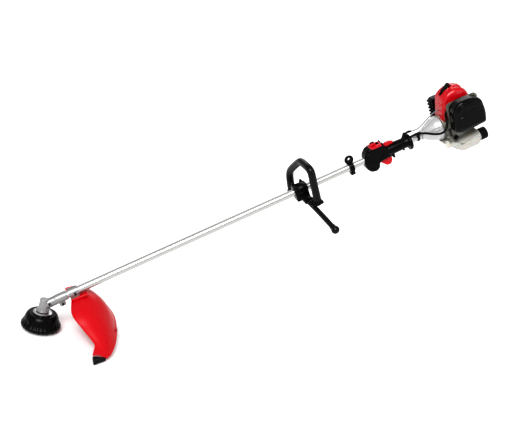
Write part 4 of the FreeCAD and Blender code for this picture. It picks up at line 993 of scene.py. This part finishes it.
def recoil_starter():
    shell = turned("starter_cowl", [
        (50.5, 1638), (54, 1638), (54, 1644), (53, 1645), (53, 1668), (50, 1676),
        (43, 1686), (34, 1687.5), (20, 1689.8), (0, 1690), (0, 1683), (36, 1682),
        (49.5, 1668)], BLACK, (1, 0, 0), count=120, corner=2.5)
    slots = []
    for number in range(24):
        angle = TAU * number / 24
        slot = pillow("Slot", oblong(25, 39, -1.7, 1.7, 1.6), 1670, 1700, BLACK, 0,
                      axis="X")
        slot.data.transform(TUBE @ Matrix.Rotation(angle, 4, "X") @ TUBE.inverted())
        slots.append(slot)
    shell = carve(shell, *slots)
    boss = turned("Boss", [(2.8, 40), (7, 40), (7, 60), (6, 64), (3.4, 64), (2.8, 62)],
                  BLACK, (0, 1, 0), (1668, 0, 30), corner=0.6)
    hub = turned("Hub", [(4.9, 1664), (4.95, 1684), (0.2, 1684), (0.2, 1664)], BLACK,
                 (1, 0, 0), count=40, corner=0.2)
    mount(joined("starter_shell", [shell, boss, hub]), "starter_black", "starter_housing")

    start = TUBE @ ROPE_EXIT
    middle = TUBE.inverted() @ (start + Vector((0, 0, 26.4 * MM)))
    line = [middle + Vector((0, y, 0)) for y in (-19, -10, -4, 4, 10, 19)]
    bar = sweep("Bar", line, lambda near, far: 6.6 + 1.3 * math.cos(
        math.pi * (near - far) / 38 / 1.3) ** 2, BLACK, step=1.0, count=32, cap=3)
    foot = TUBE.inverted() @ (start + Vector((0, 0, 16.6 * MM)))
    up = (middle - foot).normalized()
    stem = turned("Stem", [(0, 0), (5.2, 0), (5.6, 2), (7.4, 8), (7.4, 11), (0, 11)],
                  BLACK, up, foot, corner=1, hollow=False)
    mount(joined("pull_handle", [bar, stem]), "starter_black", "starter_grip",
          body="handle")

    turns, height, lay = 5.0, 16.2 * MM, 0.85 * MM
    strands = []
    for strand in range(3):
        line = []
        for step in range(61):
            share = step / 60
            angle = TAU * (turns * share + strand / 3)
            line.append(start + Vector((lay * math.cos(angle), lay * math.sin(angle),
                                        height * share)))
        strands.append(sweep("Strand", line, 0.88 * MM, ROPE, Matrix.Identity(4),
                             0.5 * MM, 10))
    rope = joined("pull_rope", strands)
    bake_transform(rope)
    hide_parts("starter_rope")


for build in (head_bell, spool_spring, gearcase, guard, guard_bracket, loop_handle,
              harness_ring, rear_grip, switch_bezel, grip_controls, cables, clutch_cone,
              engine_cover, muffler_shield, air_cleaner, fuel_tank, recoil_starter):
    build()


# ------------------------------------------------------------------- studio and camera

def floor():
    mesh = bpy.data.meshes.new("studio_floor")
    reach = 30.0
    mesh.from_pydata([(-reach, -reach, 0), (reach, -reach, 0), (reach, reach, 0),
                      (-reach, reach, 0)], [], [(0, 1, 2, 3)])
    obj = bpy.data.objects.new("studio_floor", mesh)
    bpy.context.scene.collection.objects.link(obj)
    mesh.materials.append(material("pale_floor", (0.93, 0.93, 0.93), 0.9, bump=0.0,
                                   mottle=0.004, spread=0.02))
    obj.location.z = -0.0006


def hang(light, place, target):
    """Put a light in its place and turn it towards its target."""
    obj = bpy.data.objects.new(light.name, light)
    bpy.context.scene.collection.objects.link(obj)
    obj.location = place
    way = Vector(target) - Vector(place)
    obj.rotation_euler = way.to_track_quat("-Z", "Y").to_euler()


def lamp(name, place, target, size, power):
    light = bpy.data.lights.new(name, "AREA")
    light.shape = "RECTANGLE"
    light.size, light.size_y = size
    light.energy = power
    hang(light, place, target)


def sun(name, place, target, spread, power):
    """A soft even light over the whole floor; spread is its angle in degrees."""
    light = bpy.data.lights.new(name, "SUN")
    light.energy = power
    light.angle = math.radians(spread)
    hang(light, place, target)


def studio():
    floor()
    world = bpy.data.worlds.new("studio")
    world.use_nodes = True
    world.node_tree.nodes["Background"].inputs["Color"].default_value = (1, 1, 1, 1)
    world.node_tree.nodes["Background"].inputs["Strength"].default_value = 0.50
    bpy.context.scene.world = world
    sun("key", (-1.0, -2.6, 3.4), (0.7, 0, 0.5), 30, 2.0)
    lamp("gloss", (-1.0, -2.6, 3.0), (0.7, 0, 0.5), (2.4, 1.6), 14)
    lamp("fill", (2.8, -2.2, 1.8), (1.2, 0, 0.8), (1.8, 1.8), 10)
    lamp("back", (1.5, 3.0, 2.6), (0.8, 0, 0.5), (2.5, 1.5), 14)
    view = bpy.context.scene.view_settings
    view.view_transform = "Standard"
    view.look = "High Contrast"
    view.exposure = 0.05


CAMERA_PLACE = Vector((-0.7507, -3.3459, 1.8127))
CAMERA_AIM = Vector((0.7090, 0.0, 0.4401))
CAMERA_ROLL = math.radians(12.296)
CAMERA_LENS = 77.36


def camera():
    """The view from the operator's left front, above, with the horizon tilted."""
    ahead = (CAMERA_AIM - CAMERA_PLACE).normalized()
    level = ahead.cross(Vector((0, 0, 1))).normalized()
    upward = level.cross(ahead)
    right = level * math.cos(CAMERA_ROLL) + upward * math.sin(CAMERA_ROLL)
    up = upward * math.cos(CAMERA_ROLL) - level * math.sin(CAMERA_ROLL)
    data = bpy.data.cameras.new("camera")
    data.lens = CAMERA_LENS
    data.sensor_width = 36.0
    data.clip_start, data.clip_end = 0.05, 60
    obj = bpy.data.objects.new("camera", data)
    bpy.context.scene.collection.objects.link(obj)
    turn = Matrix((right, up, -ahead)).transposed().to_4x4()
    obj.matrix_world = Matrix.Translation(CAMERA_PLACE) @ turn
    bpy.context.scene.camera = obj


studio()
camera()
bpy.context.view_layer.update()
